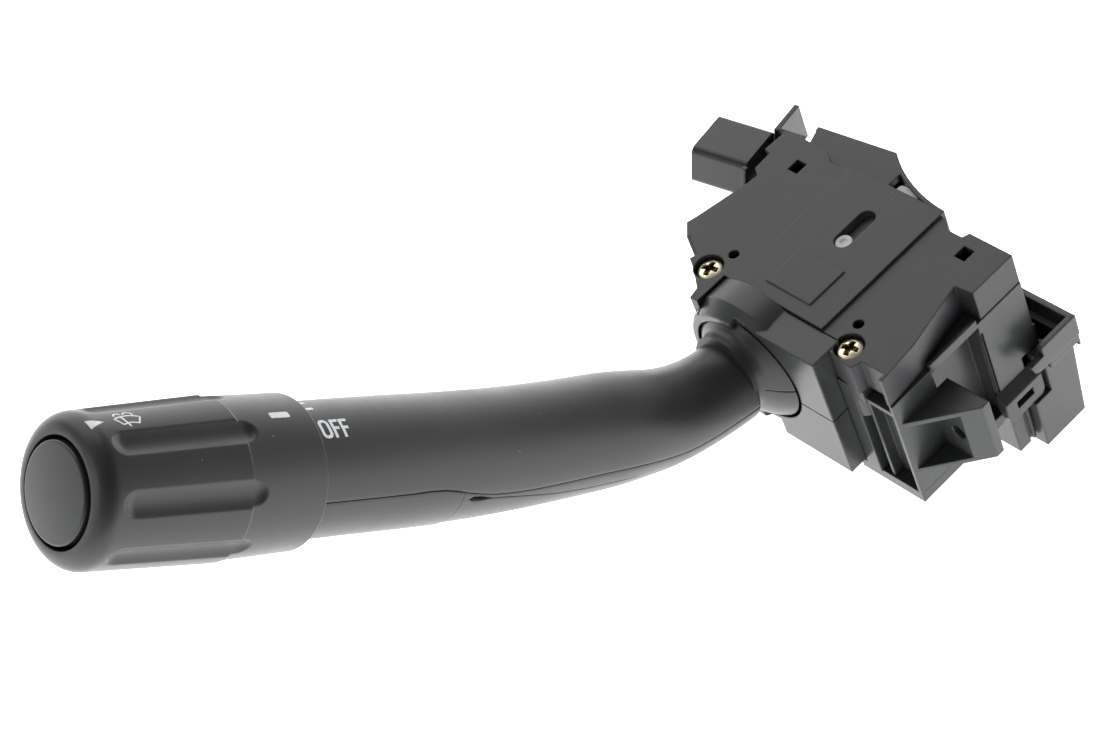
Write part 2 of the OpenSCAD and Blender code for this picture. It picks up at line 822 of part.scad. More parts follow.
// Cover screws: domed heads with a cross recess
module cover_screws() {
    dome_r = (screw_head_r * screw_head_r + screw_dome * screw_dome) / (2 * screw_dome);
    top = screw_head_h + screw_dome;
    color("#b9a35c")
        for (side = [-1, 1])
            translate([screw_x, side * screw_y, wing_top - counterbore_d])
                difference() {
                    union() {
                        intersection() {
                            cylinder(r = screw_head_r, h = top + 1);
                            translate([0, 0, top - dome_r])
                                sphere(r = dome_r, $fn = 72);
                        }
                        translate([0, 0, -screw_l])
                            cylinder(r = screw_r, h = screw_l + tiny);
                    }
                    for (a = [20, 110])
                        rotate([0, 0, a])
                            block([-recess_arm, -recess_w / 2, top - recess_deep], [recess_arm, recess_w / 2, top + 1]);
                }
}

// Portal that carries the carrier's two trunnions
module pivot_bracket() {
    half = carrier_w / 2 + bracket_gap;
    top = pivot_z + carrier_h / 2 + gap;
    low = pivot_z - carrier_h / 2 - gap;
    color("#8d9094")
        difference() {
            block([pivot_x - bracket_l / 2, lever_y - half - bracket_side, base_t],
                  [pivot_x + bracket_l / 2, lever_y + half + bracket_side, top + bracket_t]);
            block([-far, lever_y - half, low], [far, lever_y + half, top]);
            block([-far, lever_y - half, base_t - 1], [far, lever_y + half, low - bracket_t]);
            rod_z([pivot_x, lever_y, -1], trunnion_r + fit, far);
        }
}

// Carrier: a frame round the lever arm, with trunnions above and below and a tail behind
module turn_carrier() {
    color("#dcdcd4")
        translate([pivot_x, lever_y, 0])
            difference() {
                union() {
                    block([-carrier_l / 2, -carrier_w / 2, pivot_z - carrier_h / 2],
                          [carrier_l / 2, carrier_w / 2, pivot_z + carrier_h / 2]);
                    rod_z([0, 0, pivot_z - carrier_h / 2 - trunnion_l], trunnion_r, carrier_h + 2 * trunnion_l);
                    block([carrier_l / 2 - tiny, -tail_w / 2, tail_z - tail_t],
                          [carrier_l / 2 + tail_l, tail_w / 2, tail_z]);
                    rod_z([drive_x, 0, tail_z - tail_t - drive_l], drive_r, drive_l + tiny);
                }
                block([-carrier_l, -carrier_w / 2 + carrier_side, pivot_z - carrier_h / 2 + carrier_plate],
                      [carrier_l, carrier_w / 2 - carrier_side, pivot_z + carrier_h / 2 - carrier_plate]);
                rod_y([0, -carrier_w, pivot_z], tilt_pin_r + 0.03, 2 * carrier_w);
                rod_z([push_x, 0, 0], push_r + fit, pivot_z);
            }
}

module tilt_pin() {
    color("#a9adb1")
        rod_y([pivot_x, lever_y - carrier_w / 2, pivot_z], tilt_pin_r, carrier_w);
}

// Bent rod inside the lever's root, with a ball at its elbow
module arm_rod(r) {
    rod_x([pivot_x - arm_l, lever_y, pivot_z], r, arm_l);
    translate([pivot_x - arm_l, lever_y, pivot_z]) {
        sphere(r = r + elbow_proud);
        rotate([0, arm_slope - 90, 0])
            cylinder(r = r, h = arm_out_l);
    }
}

// Arm that the shells are fixed to: it turns on the tilt pin and pushes the detent plunger
module lever_arm() {
    color("#c9cac4")
        difference() {
            union() {
                rod_y([pivot_x, lever_y - arm_boss_w / 2, pivot_z], arm_boss_r, arm_boss_w);
                arm_rod(arm_r);
                block([pivot_x, lever_y - arm_tail_w / 2, pivot_z - arm_tail_h / 2],
                      [pivot_x + arm_tail_l, lever_y + arm_tail_w / 2, pivot_z + arm_tail_h / 2]);
            }
            rod_y([pivot_x, -far, pivot_z], tilt_pin_r + fit, 2 * far);
            rod_x([pivot_x + arm_tail_l - plunger_bore, lever_y, pivot_z], plunger_r + fit, far);
        }
}

// Bell round the lever's root: a slice of a sphere about the pivot, with a collar and a plug for the shells
module lever_bell() {
    color("#3b3d3f")
        difference() {
            union() {
                translate(lever_origin)
                    sphere(r = bell_r, $fn = 72);
                at_neck() {
                    cylinder(r = skin_r(neck_end), h = 8);
                    translate([0, 0, -plug_l])
                        cylinder(r = skin_r(neck_end) - shell_t - 0.15, h = plug_l + 1);
                }
            }
            difference() {
                translate(lever_origin)
                    sphere(r = bell_r - shell_t, $fn = 72);
                at_neck()
                    cylinder(r = skin_r(neck_end), h = 7);
            }
            block([pivot_x - bell_edge_x, -far, -far], [far, far, far]);
            arm_rod(arm_r + 0.02);
            block([-far, -far, pivot_z - 2.6], [far, lever_y - neck_r - 1, pivot_z - 2]);
        }
}

// Frame of the shells' root end, with Z back towards the pivot
module at_neck() {
    translate(path_point(neck_end))
        rotate([0, 90 + path_slope(neck_end), 0])
            children();
}

module lever_upper_shell() {
    color("#46484a")
        swept_shell(neck_end, lever_l + shell_in, ring_n, true, 0);
}

module lever_lower_shell() {
    color("#434547")
        swept_shell(neck_end, cover_start, cover_ring, false, 0);
}

// Cover over the wires in the outer part of the lever's underside
module wire_cover() {
    color("#404244")
        swept_shell(cover_start + gap, lever_l - gap, ring_n / 2, false, cover_proud);
}

module detent_plunger() {
    color("#d7d7cf")
        translate([pivot_x + arm_tail_l + arm_tip - plunger_r, lever_y, pivot_z]) {
            sphere(r = plunger_r);
            rotate([0, -90, 0])
                cylinder(r = plunger_r, h = plunger_l);
        }
}

module detent_spring() {
    color("#b8bcc0")
        translate([pivot_x + arm_tail_l - plunger_bore + gap / 2, lever_y, pivot_z])
            rotate([0, 90, 0])
                coil(plunger_r - 0.7, 0.3, plunger_bore + arm_tip - plunger_r - plunger_l - gap, 5);
}

// Detent plate: a track round the pivot with a groove for each turn position
module detent_plate() {
    track = arm_tail_l + arm_tip + gap;
    low_z = tail_z + 0.5;
    color("#e0e0d8")
        difference() {
            block([pivot_x + detent_x0, lever_y - detent_w / 2, base_t],
                  [pivot_x + detent_x1, lever_y + detent_w / 2, pivot_z + detent_h / 2]);
            rod_z([pivot_x, lever_y, low_z], track, far);
            rod_z([pivot_x, lever_y, base_t - 1], carrier_l / 2 + tail_l + 0.7, low_z - base_t + 1 + tiny);
            for (a = [-7.5, 0, 7.5])
                translate([pivot_x, lever_y, low_z])
                    rotate([0, 0, a])
                        rod_z([track - detent_groove + detent_deep, 0, 0], detent_groove, far);
            // Room for the contact board
            block([0, lever_y - detent_w, base_t - 1], [board_x1 + gap, lever_y + detent_w, board_z + board_t + gap]);
        }
}

module knob_spindle() {
    color("#cfd0ca")
        at_knob()
            difference() {
                union() {
                    translate([0, 0, -spindle_in])
                        cylinder(r = spindle_r, h = spindle_in + spindle_out);
                    translate([0, 0, -spindle_flange_t - 1])
                        cylinder(r = spindle_flange_r, h = spindle_flange_t);
                }
                translate([0, 0, -spindle_in - 1])
                    cylinder(r = stem_r + fit, h = far);
            }
}

module wiper_board() {
    color("#7a6a3a")
        at_knob()
            difference() {
                translate([0, 0, -1])
                    cylinder(r = spindle_flange_r, h = 1.6);
                translate([0, 0, -2])
                    cylinder(r = spindle_r + tiny, h = 5);
            }
}

module wiper_rotor() {
    color("#c8a24a")
        at_knob()
            translate([0, 0, rotor_z])
                difference() {
                    cylinder(r = skirt_r - knob_wall - gap, h = rotor_t);
                    translate([0, 0, -1])
                        cylinder(r = spindle_r + gap, h = 5);
                }
}

// Knob: a plain skirt, ribs with grooves between them, a rounded front and a recess for the button
module wiper_knob() {
    inner = skirt_r - knob_wall;
    hub_z = rotor_z + rotor_t;
    front_z = knob_l - button_deep;
    color("#414345")
        at_knob()
            difference() {
                rotate_extrude($fn = 96)
                    union() {
                        polygon([[0, 0], [skirt_r, 0], [skirt_r + 0.3, skirt_l - 0.6], [0, skirt_l - 0.6]]);
                        polygon([[0, skirt_l - 1], [skirt_r, skirt_l - 1], [knob_r, skirt_l],
                                 [front_r, knob_l - knob_round], [0, knob_l - knob_round]]);
                        square([front_r - knob_round, knob_l]);
                        translate([front_r - knob_round, knob_l - knob_round])
                            circle(r = knob_round, $fn = 48);
                    }
                translate([0, 0, -1])
                    cylinder(r = inner, h = hub_z + 1);
                translate([0, 0, hub_z - tiny])
                    difference() {
                        cylinder(r = inner, h = hub_l);
                        cylinder(r = hub_r, h = hub_l);
                    }
                cylinder(r = spindle_r + fit, h = far);
                translate([0, 0, front_z])
                    cylinder(r = recess_r, h = far);
                for (i = [0:groove_n - 1])
                    rotate([0, 0, groove_start + i * groove_step])
                        finger_groove();
            }
}

// One finger groove with round ends, at the side towards minus Y
module finger_groove() {
    deep = sqrt(groove_r * groove_r - groove_w * groove_w / 4);
    r_front = front_r + (knob_r - front_r) * (knob_l - knob_round - groove_front) / (knob_l - knob_round - skirt_l);
    translate([0, -r_front - deep + 0.28, groove_front])
        rotate([-groove_taper, 0, 0]) {
            rotate([0, 180, 0])
                cylinder(r = groove_r, h = groove_front - groove_rear);
            sphere(r = groove_r);
            translate([0, 0, groove_rear - groove_front])
                sphere(r = groove_r);
        }
}

// Washer button: a shallow domed cap on a long stem
module washer_button() {
    dome_r = (button_r * button_r + button_top * button_top) / (2 * button_top);
    color("#47494b")
        at_knob() {
            intersection() {
                translate([0, 0, knob_l - 4])
                    cylinder(r = button_r, h = 6, $fn = 72);
                translate([0, 0, knob_l - dome_r])
                    sphere(r = dome_r, $fn = 144);
            }
            translate([0, 0, knob_l - 4 - stem_l + 1])
                cylinder(r = stem_r, h = stem_l);
        }
}

module washer_spring() {
    color("#b8bcc0")
        at_knob()
            translate([0, 0, spindle_out + gap / 2])
                coil(washer_spring_r, 0.4, knob_l - 4 - spindle_out - gap, 5);
}

module washer_switch() {
    color("#6b6e70")
        at_knob()
            translate([0, 0, -spindle_in - washer_box])
                difference() {
                    translate([-washer_box / 2, -washer_box / 2, 0])
                        cube(washer_box);
                    translate([0, 0, washer_box / 2])
                        cylinder(r = stem_r + 0.6, h = far);
                }
}

// Cancelling pawl: a slide with its guide pin up through the slot, and a nose towards the shaft
module cancel_pawl() {
    color("#e9e6dc")
        difference() {
            union() {
                block([slot_x - 4, -pawl_w / 2, pawl_z], [pawl_body_x1, pawl_w / 2, pawl_z + pawl_t]);
                translate([pawl_body_x1 - 4, nose_y0, pawl_z])
                    linear_extrude(nose_t)
                        round_rect([pawl_x1 - pawl_body_x1 + 4, nose_y1 - nose_y0], nose_round);
                rod_z([slot_x, 0, pawl_z], pawl_pin_r, strip_top - pawl_z - 0.6);
            }
            translate([slot_x, 0, strip_top + 0.6])
                sphere(r = 1.7);
            rod_x([slot_x - 5, 0, pawl_z - 0.6], 1, 8);
        }
}

module pawl_spring() {
    color("#b8bcc0")
        translate([slot_x - 4 - gap - pawl_spring_l, 0, pawl_z + pawl_t / 2 + 0.2])
            rotate([0, 90, 0])
                coil(pawl_spring_r - 0.7, 0.3, pawl_spring_l, 6);
}

module contact_board() {
    color("#8a6b34")
        difference() {
            block([board_x0, board_y0, board_z], [board_x1, board_y1, board_z + board_t]);
            for (y = [board_y0 + 4, board_y1 - 4])
                rod_z([board_x0 + 5, y, 0], 1.3, far);
        }
}

module contact_strips() {
    mid_x = pivot_x + drive_x;
    color("#c79a4e")
        for (i = [-1, 0, 1])
            block([mid_x + i * track_pitch - track_w / 2 - 0.6, lever_y - track_l / 2, board_z + board_t],
                  [mid_x + i * track_pitch + track_w / 2 - 0.6, lever_y + track_l / 2, board_z + board_t + track_t]);
}

// Slider moved sideways by the carrier's drive pin
module turn_slider() {
    x = pivot_x + drive_x;
    color("#cfcfc6")
        difference() {
            block([x - slider_x / 2, lever_y - slider_y / 2, slider_z],
                  [x + slider_x / 2, lever_y + slider_y / 2, slider_z + slider_h]);
            block([x - slider_x / 2 + 1.5, lever_y - drive_r - fit, slider_z + 1.2],
                  [x + slider_x / 2 - 1.5, lever_y + drive_r + fit, far]);
        }
}

module turn_contacts() {
    x = pivot_x + drive_x;
    color("#c88a3c")
        for (side = [-1, 1])
            block([x - 3.6, lever_y + side * 3.5 - 0.8, slider_z - 0.8],
                  [x + 3.6, lever_y + side * 3.5 + 0.8, slider_z]);
}

// Pusher that the lever arm's tail presses down through the carrier's tail
module dimmer_pusher() {
    color("#b9dbe0")
        rod_z([pivot_x + push_x, lever_y, tail_z - tail_t - 2.5], push_r,
              pivot_z - arm_tail_h / 2 - gap - tail_z + tail_t + 2.5);
}

// Dimmer contact block: its ledge reaches over the slider to the pusher's foot
module dimmer_switch() {
    top = tail_z - tail_t - 2.5 - push_l - gap;
    low = board_z + board_t;
    color("#5b6468")
        union() {
            block([pivot_x + push_x + 0.1, lever_y - 6, low], [pivot_x + push_x + 4.7, lever_y + 6, top]);
            block([pivot_x + push_x - 2.5, lever_y - 6, top - 1.6], [pivot_x + push_x + 4.7, lever_y + 6, top]);
        }
}

module hazard_housing() {
    color("#3f4143")
        at_hazard()
            difference() {
                union() {
                    // Face plate with a slanted far end
                    rotate([90, 0, 0])
                        linear_extrude(hazard_plate_t)
                            polygon([[-1.6, 0], [hazard_plate_w - 2, 0],
                                     [hazard_plate_w - 2 + hazard_flare, -hazard_plate_h],
                                     [-1.6, -hazard_plate_h]]);
                    block([0, -hazard_body_y0, -hazard_plate_h], [hazard_body_x1, -hazard_neck_y, -hazard_body_top]);
                    block([0, -hazard_neck_y - tiny, -hazard_plate_h], [hazard_neck_x1, -tiny, -0.8]);
                }
                // Channel of the button's slide, roofed inside the body and open at the neck
                block([hazard_x0 - gap, -hazard_slide_l - hazard_travel - gap, -hazard_h - gap],
                      [hazard_x0 + hazard_w + gap, 1, -hazard_body_top - hazard_roof]);
                block([hazard_x0 - gap, -hazard_travel - 2 * gap, -hazard_h - gap],
                      [hazard_x0 + hazard_w + gap, 1, gap]);
            }
}

// Hazard button: a rounded block in front and a slide behind
module hazard_button() {
    color("#3a3c3e")
        at_hazard() {
            translate([hazard_x0, hazard_out, 0])
                rotate([90, 0, 0])
                    linear_extrude(hazard_out + gap)
                        translate([0, -hazard_h])
                            round_rect([hazard_w, hazard_h], hazard_round);
            block([hazard_x0, -hazard_slide_l + 8, -hazard_h], [hazard_x0 + hazard_w, tiny, -hazard_body_top - 1.5]);
        }
}

module hazard_spring() {
    color("#b8bcc0")
        at_hazard()
            translate([hazard_x0 + hazard_w / 2, -hazard_slide_l + 8 - gap / 2, -hazard_h / 2 - 2])
                rotate([90, 0, 0])
                    coil(hazard_spring_r - 1.4, 0.3, hazard_travel + 8 - 0.3, 6);
}

// Connector: an open socket round the case's far right corner, on a tapered body
module harness_connector() {
    low = socket_z1 - socket_h;
    band_z = socket_z1 - socket_band;
    body_y = socket_y + socket_step;
    hollow_x = case_l + gap + 1.1;
    color("#4a4c4f")
        difference() {
            union() {
                block([socket_x0, socket_y, band_z], [socket_x1, socket_y + socket_w, socket_z1]);
                // Front wall of the band, with a lower tip in front of the case
                translate([0, socket_y + socket_wall, 0])
                    rotate([90, 0, 0])
                        linear_extrude(socket_wall)
                            polygon([[socket_x0 + 1, socket_z1], [socket_x0, socket_z1], [socket_x0, socket_z1 - 3],
                                     [socket_tip_x, socket_z1 - 3.1], [socket_tip_x + 0.8, band_z + 1],
                                     [socket_tip_x + 2.6, band_z], [socket_x0 + 1, band_z]]);
                block([socket_body_xm - tiny, socket_y + 0.6, socket_lip_z],
                      [socket_x1, socket_y + socket_w - 1, band_z + tiny]);
                block([socket_neck_x, socket_y + 0.6, band_z - 3], [socket_body_xm, body_y + tiny, band_z + tiny]);
                translate([0, body_y + socket_body_l, 0])
                    rotate([90, 0, 0])
                        linear_extrude(socket_body_l)
                            polygon([[socket_body_x0, low], [socket_body_x1, low], [socket_body_xm, 6],
                                     [socket_body_xm, band_z + tiny], [socket_neck_x, band_z + tiny],
                                     [socket_neck_x, -gap], [socket_body_x0, -gap]]);
            }
            // The case's corner
            block([0, right_y - gap, -gap], [case_l + gap, 0, far]);
            // The socket's hollow, and the part of it in front of the case
            block([hollow_x, body_y + socket_wall, low + socket_floor],
                  [socket_body_x1 - 1, body_y + socket_body_l - socket_wall, far]);
            block([hollow_x, socket_y + socket_wall, band_z + 1.5],
                  [socket_x1 - socket_wall, socket_y + socket_w - socket_wall, far]);
            block([socket_x0 - 1, socket_y + socket_wall, band_z + 1.5],
                  [socket_x1 - socket_wall, right_y + 1, far]);
        }
}

module connector_pins() {
    low = socket_z1 - socket_h + socket_floor;
    x = (case_l + gap + 1.1 + socket_body_x1 - 1) / 2;
    color("#c9a04e")
        for (i = [0:pin_n - 1])
            translate([x - pin_w / 2, pin_y + (i - (pin_n - 1) / 2) * pin_pitch - pin_w / 2, low])
                cube([pin_w, pin_w, pin_l]);
}

module lower_connector() {
    color("#47494c")
        difference() {
            block([lower_x0, lower_y0, -lower_h], [lower_x1, lower_y1, under_step]);
            block([lower_x0 + 1.4, lower_y0 + wall, -lower_h - 1], [lower_x1 - 1.4, lower_y1 - wall, -2.5]);
            block([lower_x1 - 2.2, lower_y0 - 1, -lower_h - 1], [lower_x1 - 1.2, lower_y0 + 0.9, -1]);
        }
}

upper_cover();
switch_case();
base_plate();
hood_upper();
hood_lower();
cover_screws();
pivot_bracket();
turn_carrier();
tilt_pin();
lever_arm();
lever_bell();
lever_upper_shell();
lever_lower_shell();
wire_cover();
detent_plunger();
detent_spring();
detent_plate();
knob_spindle();
wiper_board();
wiper_rotor();
wiper_knob();
washer_button();
washer_spring();
washer_switch();
cancel_pawl();
pawl_spring();
contact_board();
contact_strips();
turn_slider();
turn_contacts();
dimmer_pusher();
dimmer_switch();
hazard_housing();
hazard_button();
hazard_spring();
harness_connector();
connector_pins();
lower_connector();
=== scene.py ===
"""Combination stalk switch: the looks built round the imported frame.

Lengths are in millimetres until a mesh is made, and in metres in the camera, the finishes and the studio.
"""

import json
import math

import bmesh
import bpy
import numpy as np
from mathutils import Matrix, Vector


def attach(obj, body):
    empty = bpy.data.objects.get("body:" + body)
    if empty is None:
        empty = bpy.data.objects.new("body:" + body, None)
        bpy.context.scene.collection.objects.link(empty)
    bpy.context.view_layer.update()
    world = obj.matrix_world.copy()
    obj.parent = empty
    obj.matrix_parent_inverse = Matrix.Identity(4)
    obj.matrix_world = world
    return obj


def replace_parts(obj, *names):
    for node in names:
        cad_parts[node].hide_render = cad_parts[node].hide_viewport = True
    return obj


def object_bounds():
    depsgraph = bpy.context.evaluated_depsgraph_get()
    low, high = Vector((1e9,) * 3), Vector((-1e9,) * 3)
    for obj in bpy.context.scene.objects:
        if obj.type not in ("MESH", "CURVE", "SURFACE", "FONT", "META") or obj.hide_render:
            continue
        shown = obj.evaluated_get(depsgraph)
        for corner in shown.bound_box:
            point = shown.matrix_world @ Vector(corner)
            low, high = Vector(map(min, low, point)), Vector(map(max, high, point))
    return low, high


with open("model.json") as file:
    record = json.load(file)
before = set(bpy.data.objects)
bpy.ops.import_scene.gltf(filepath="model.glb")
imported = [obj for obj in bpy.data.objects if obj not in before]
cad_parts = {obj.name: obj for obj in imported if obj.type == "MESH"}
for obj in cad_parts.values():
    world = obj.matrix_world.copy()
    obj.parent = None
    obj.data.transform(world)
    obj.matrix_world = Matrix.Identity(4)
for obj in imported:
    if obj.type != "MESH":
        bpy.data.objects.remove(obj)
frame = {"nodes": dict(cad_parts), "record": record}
CAD_BOX = [list(corner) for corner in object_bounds()]
NODES = frame["nodes"]
MM = 0.001

# ---------------------------------------------------------------- photograph's camera

CAMERA_AT = Vector((-0.2599, -0.4460, 0.5743))
CAMERA_RIGHT = Vector((0.7019, -0.6435, -0.3055))
CAMERA_UP = Vector((0.6525, 0.4089, 0.6380))
LENS, SENSOR = 94.05, 36.0
CLIP_START, CLIP_END = 0.02, 60.0


def make_camera():
    """The photograph's view: the axes are those of the fitted camera, made square again."""
    data = bpy.data.cameras.new("studio_camera")
    data.lens, data.sensor_width = LENS, SENSOR
    data.clip_start, data.clip_end = CLIP_START, CLIP_END
    camera = bpy.data.objects.new("studio_camera", data)
    right = CAMERA_RIGHT.normalized()
    back = right.cross(CAMERA_UP).normalized()
    up = back.cross(right)
    turn = Matrix((right, up, back)).transposed()
    camera.matrix_world = Matrix.Translation(CAMERA_AT) @ turn.to_4x4()
    bpy.context.scene.collection.objects.link(camera)
    bpy.context.scene.camera = camera


# ---------------------------------------------------------------- shader arithmetic


class Value:
    """A shader's number or colour: each operator on it adds one Math node to its finish."""

    def __init__(self, finish, socket):
        self.finish, self.socket = finish, socket

    def _math(self, operation, first, second):
        return self.finish.node("ShaderNodeMath", {"operation": operation}, {0: first, 1: second})

    def __add__(self, other):
        return self._math("ADD", self, other)

    __radd__ = __add__

    def __sub__(self, other):
        return self._math("SUBTRACT", self, other)

    def __rsub__(self, other):
        return self._math("SUBTRACT", other, self)

    def __mul__(self, other):
        return self._math("MULTIPLY", self, other)

    __rmul__ = __mul__

    def __gt__(self, other):
        return self._math("GREATER_THAN", self, other)

    def __lt__(self, other):
        return self._math("LESS_THAN", self, other)

    def ramp(self, low, high, to_low=0.0, to_high=1.0):
        """Smooth step from to_low at low to to_high at high."""
        values = {0: self, 1: low, 2: high, 3: to_low, 4: to_high}
        return self.finish.node("ShaderNodeMapRange", {"interpolation_type": "SMOOTHSTEP"}, values)


class Finish:
    """One procedural material on Object coordinates, in metres."""

    def __init__(self, name):
        self.material = bpy.data.materials.new(name)
        self.material.use_nodes = True
        self.tree = self.material.node_tree
        self.tree.nodes.clear()
        self.shader = self.tree.nodes.new("ShaderNodeBsdfPrincipled")
        out = self.tree.nodes.new("ShaderNodeOutputMaterial")
        self.tree.links.new(self.shader.outputs[0], out.inputs[0])
        self.place = self.node("ShaderNodeTexCoord", {}, {}, "Object")

    def plug(self, socket, value):
        """Links a Value to a socket, or sets the socket's own number or colour."""
        if isinstance(value, Value):
            self.tree.links.new(value.socket, socket)
        elif isinstance(value, (tuple, list)) and len(value) == 3 and len(socket.default_value) == 4:
            socket.default_value = (*value, 1.0)
        else:
            socket.default_value = value

    def node(self, kind, settings, values, output=0):
        """Any node: its settings are set first, then the values or links of its sockets."""
        made = self.tree.nodes.new(kind)
        for key, setting in settings.items():
            setattr(made, key, setting)
        for key, value in values.items():
            self.plug(made.inputs[key], value)
        return Value(self, made.outputs[output])

    def along(self, direction):
        """How far the place, or a direction of the sky, lies along the given direction."""
        settings = {"operation": "DOT_PRODUCT"}
        return self.node("ShaderNodeVectorMath", settings, {0: self.place, 1: direction}, "Value")

    def noise(self, scale, detail=3.0, rough=0.5, place=None):
        """Fractal noise, which varies about 0.5."""
        values = {"Vector": place or self.place, "Scale": scale, "Detail": detail, "Roughness": rough}
        return self.node("ShaderNodeTexNoise", {}, values)

    def cells(self, scale):
        """Distance to the nearest of many scattered points."""
        return self.node("ShaderNodeTexVoronoi", {}, {"Vector": self.place, "Scale": scale})

    def stretched(self, scale):
        """Coordinates scaled by a different amount along each axis, for brushed or drawn streaks."""
        return self.node("ShaderNodeMapping", {}, {"Vector": self.place, "Scale": scale})

    def mix(self, share, first, second):
        """The first colour where the share is 0, the second where it is 1."""
        values = {"Factor": share, "A": first, "B": second}
        made = self.tree.nodes.new("ShaderNodeMix")
        made.data_type = "RGBA"
        for socket in made.inputs:
            if socket.enabled and socket.name in values:
                self.plug(socket, values[socket.name])
        return Value(self, next(o for o in made.outputs if o.enabled))

    def bump(self, height, depth, strength, over=None):
        """Normal of a height field of that depth, on top of the normal over where there is one."""
        values = {"Height": height, "Distance": depth, "Strength": strength}
        if over is not None:
            values["Normal"] = over
        return self.node("ShaderNodeBump", {}, values)

    def rounded(self, radius):
        """Normal of the edges rounded by a small radius, for pieces seen only in part, and none for radius 0."""
        return self.node("ShaderNodeBevel", {"samples": 4}, {"Radius": radius}) if radius else None

    def set(self, **values):
        """Fills the shader's sockets, whose names have an underscore for each space, and returns the material."""
        for key, value in values.items():
            self.plug(self.shader.inputs[key.replace("_", " ")], value)
        return self.material


class Sky(Finish):
    """The world's light, as a colour that depends on the direction."""

    def __init__(self, name):
        self.world = bpy.data.worlds.new(name)
        self.world.use_nodes = True
        self.tree = self.world.node_tree
        self.tree.nodes.clear()
        self.shader = self.tree.nodes.new("ShaderNodeBackground")
        out = self.tree.nodes.new("ShaderNodeOutputWorld")
        self.tree.links.new(self.shader.outputs[0], out.inputs[0])
        self.place = self.node("ShaderNodeTexCoord", {}, {}, "Generated")


# ---------------------------------------------------------------- finishes

DUST = (0.45, 0.45, 0.43)
# dark brown of the painted shade in the screws' crosses and on the sides of their heads
PAINTED_SHADE_TONE = (0.16, 0.13, 0.07)
CROSS_PAINTED_SHADE = (0.0462, 0.0471)  # heights between which the painted shade in the screws' crosses ends
UP = (0.0, 0.0, 1.0)


def plastic(name, colour, rough, grain, depth, cloud, dust=0.0, ease=0.0):
    """Moulded plastic: a fine spark-eroded grain, faint clouds in tone and gloss, and a little dust.

    The dust's specks are the middles of small cells, left only where a slow noise is high.
    """
    f = Finish(name)
    cloudy = f.noise(38.0, detail=4.0, rough=0.6)
    fine = f.noise(1.0 / grain, detail=2.0, rough=0.6)
    speckle = f.noise(420.0, rough=0.7)
    shade = cloudy.ramp(0.35, 0.68)
    dark = tuple(c * (1.0 - cloud) for c in colour)
    light = tuple(c * (1.0 + cloud) for c in colour)
    tone = f.mix(shade, dark, light)
    if dust:
        specks = (f.cells(260.0) < 0.035) * (f.noise(55.0, detail=2.0) > 0.53)
        tone = f.mix(specks * dust, tone, DUST)
    gloss = rough + (speckle - 0.5) * 0.10 + (shade - 0.5) * 0.05
    return f.set(Base_Color=tone, Roughness=gloss, Normal=f.bump(fine, depth, 0.6, f.rounded(ease)))


def metal(name, colour, tarnish, rough, streak, ease=0.0, sunk=None):
    """Metal: fine streaks in roughness and height, slow patches of tarnish, and painted shade below the height range
    sunk.
    """
    f = Finish(name)
    lines = f.noise(1.0, rough=0.6, place=f.stretched(streak))
    patches = f.noise(160.0, detail=4.0, rough=0.6).ramp(0.4, 0.72)
    tone = f.mix(patches, colour, tarnish)
    if sunk:
        # painted shade: the tone goes to dark brown below the height range sunk, standing in for the shade in the
        # crosses and round the heads
        tone = f.mix(f.along(UP).ramp(*sunk), PAINTED_SHADE_TONE, tone)
    gloss = rough + (lines - 0.5) * 0.18 + patches * 0.10
    return f.set(Base_Color=tone, Roughness=gloss, Metallic=1.0, Normal=f.bump(lines, 0.000008, 0.5, f.rounded(ease)))


def print_ink(name):
    """White pad print: slightly uneven cover over the grain."""
    f = Finish(name)
    cover = f.noise(1500.0, rough=0.6).ramp(0.30, 0.52)
    tone = f.mix(cover, (0.74, 0.76, 0.79), (0.92, 0.95, 0.98))
    return f.set(Base_Color=tone, Roughness=0.5 + (cover - 0.5) * 0.1, Normal=f.bump(cover, 0.00001, 0.4))


def nylon(name):
    """Natural nylon: milky, slightly cloudy, with a soft sheen."""
    f = Finish(name)
    cloudy = f.noise(120.0, detail=4.0, rough=0.6).ramp(0.35, 0.7)
    tone = f.mix(cloudy, (0.56, 0.58, 0.58), (0.70, 0.72, 0.72))
    fine = f.noise(1600.0, detail=2.0)
    return f.set(
        Base_Color=tone, Roughness=0.38 + cloudy * 0.1, Normal=f.bump(fine, 0.00001, 0.5, f.rounded(0.0003)),
        Subsurface_Weight=0.12, Subsurface_Scale=0.002)


def laminate(name):
    """Phenolic board: brown paper layers under a clear resin."""
    f = Finish(name)
    fibre = f.noise(1.0, detail=4.0, rough=0.65, place=f.stretched((300.0, 1400.0, 300.0)))
    tone = f.mix(fibre.ramp(0.3, 0.7), (0.20, 0.11, 0.035), (0.33, 0.20, 0.07))
    return f.set(
        Base_Color=tone, Roughness=0.32 + fibre * 0.15, Normal=f.bump(fibre, 0.00001, 0.4, f.rounded(0.0002)))


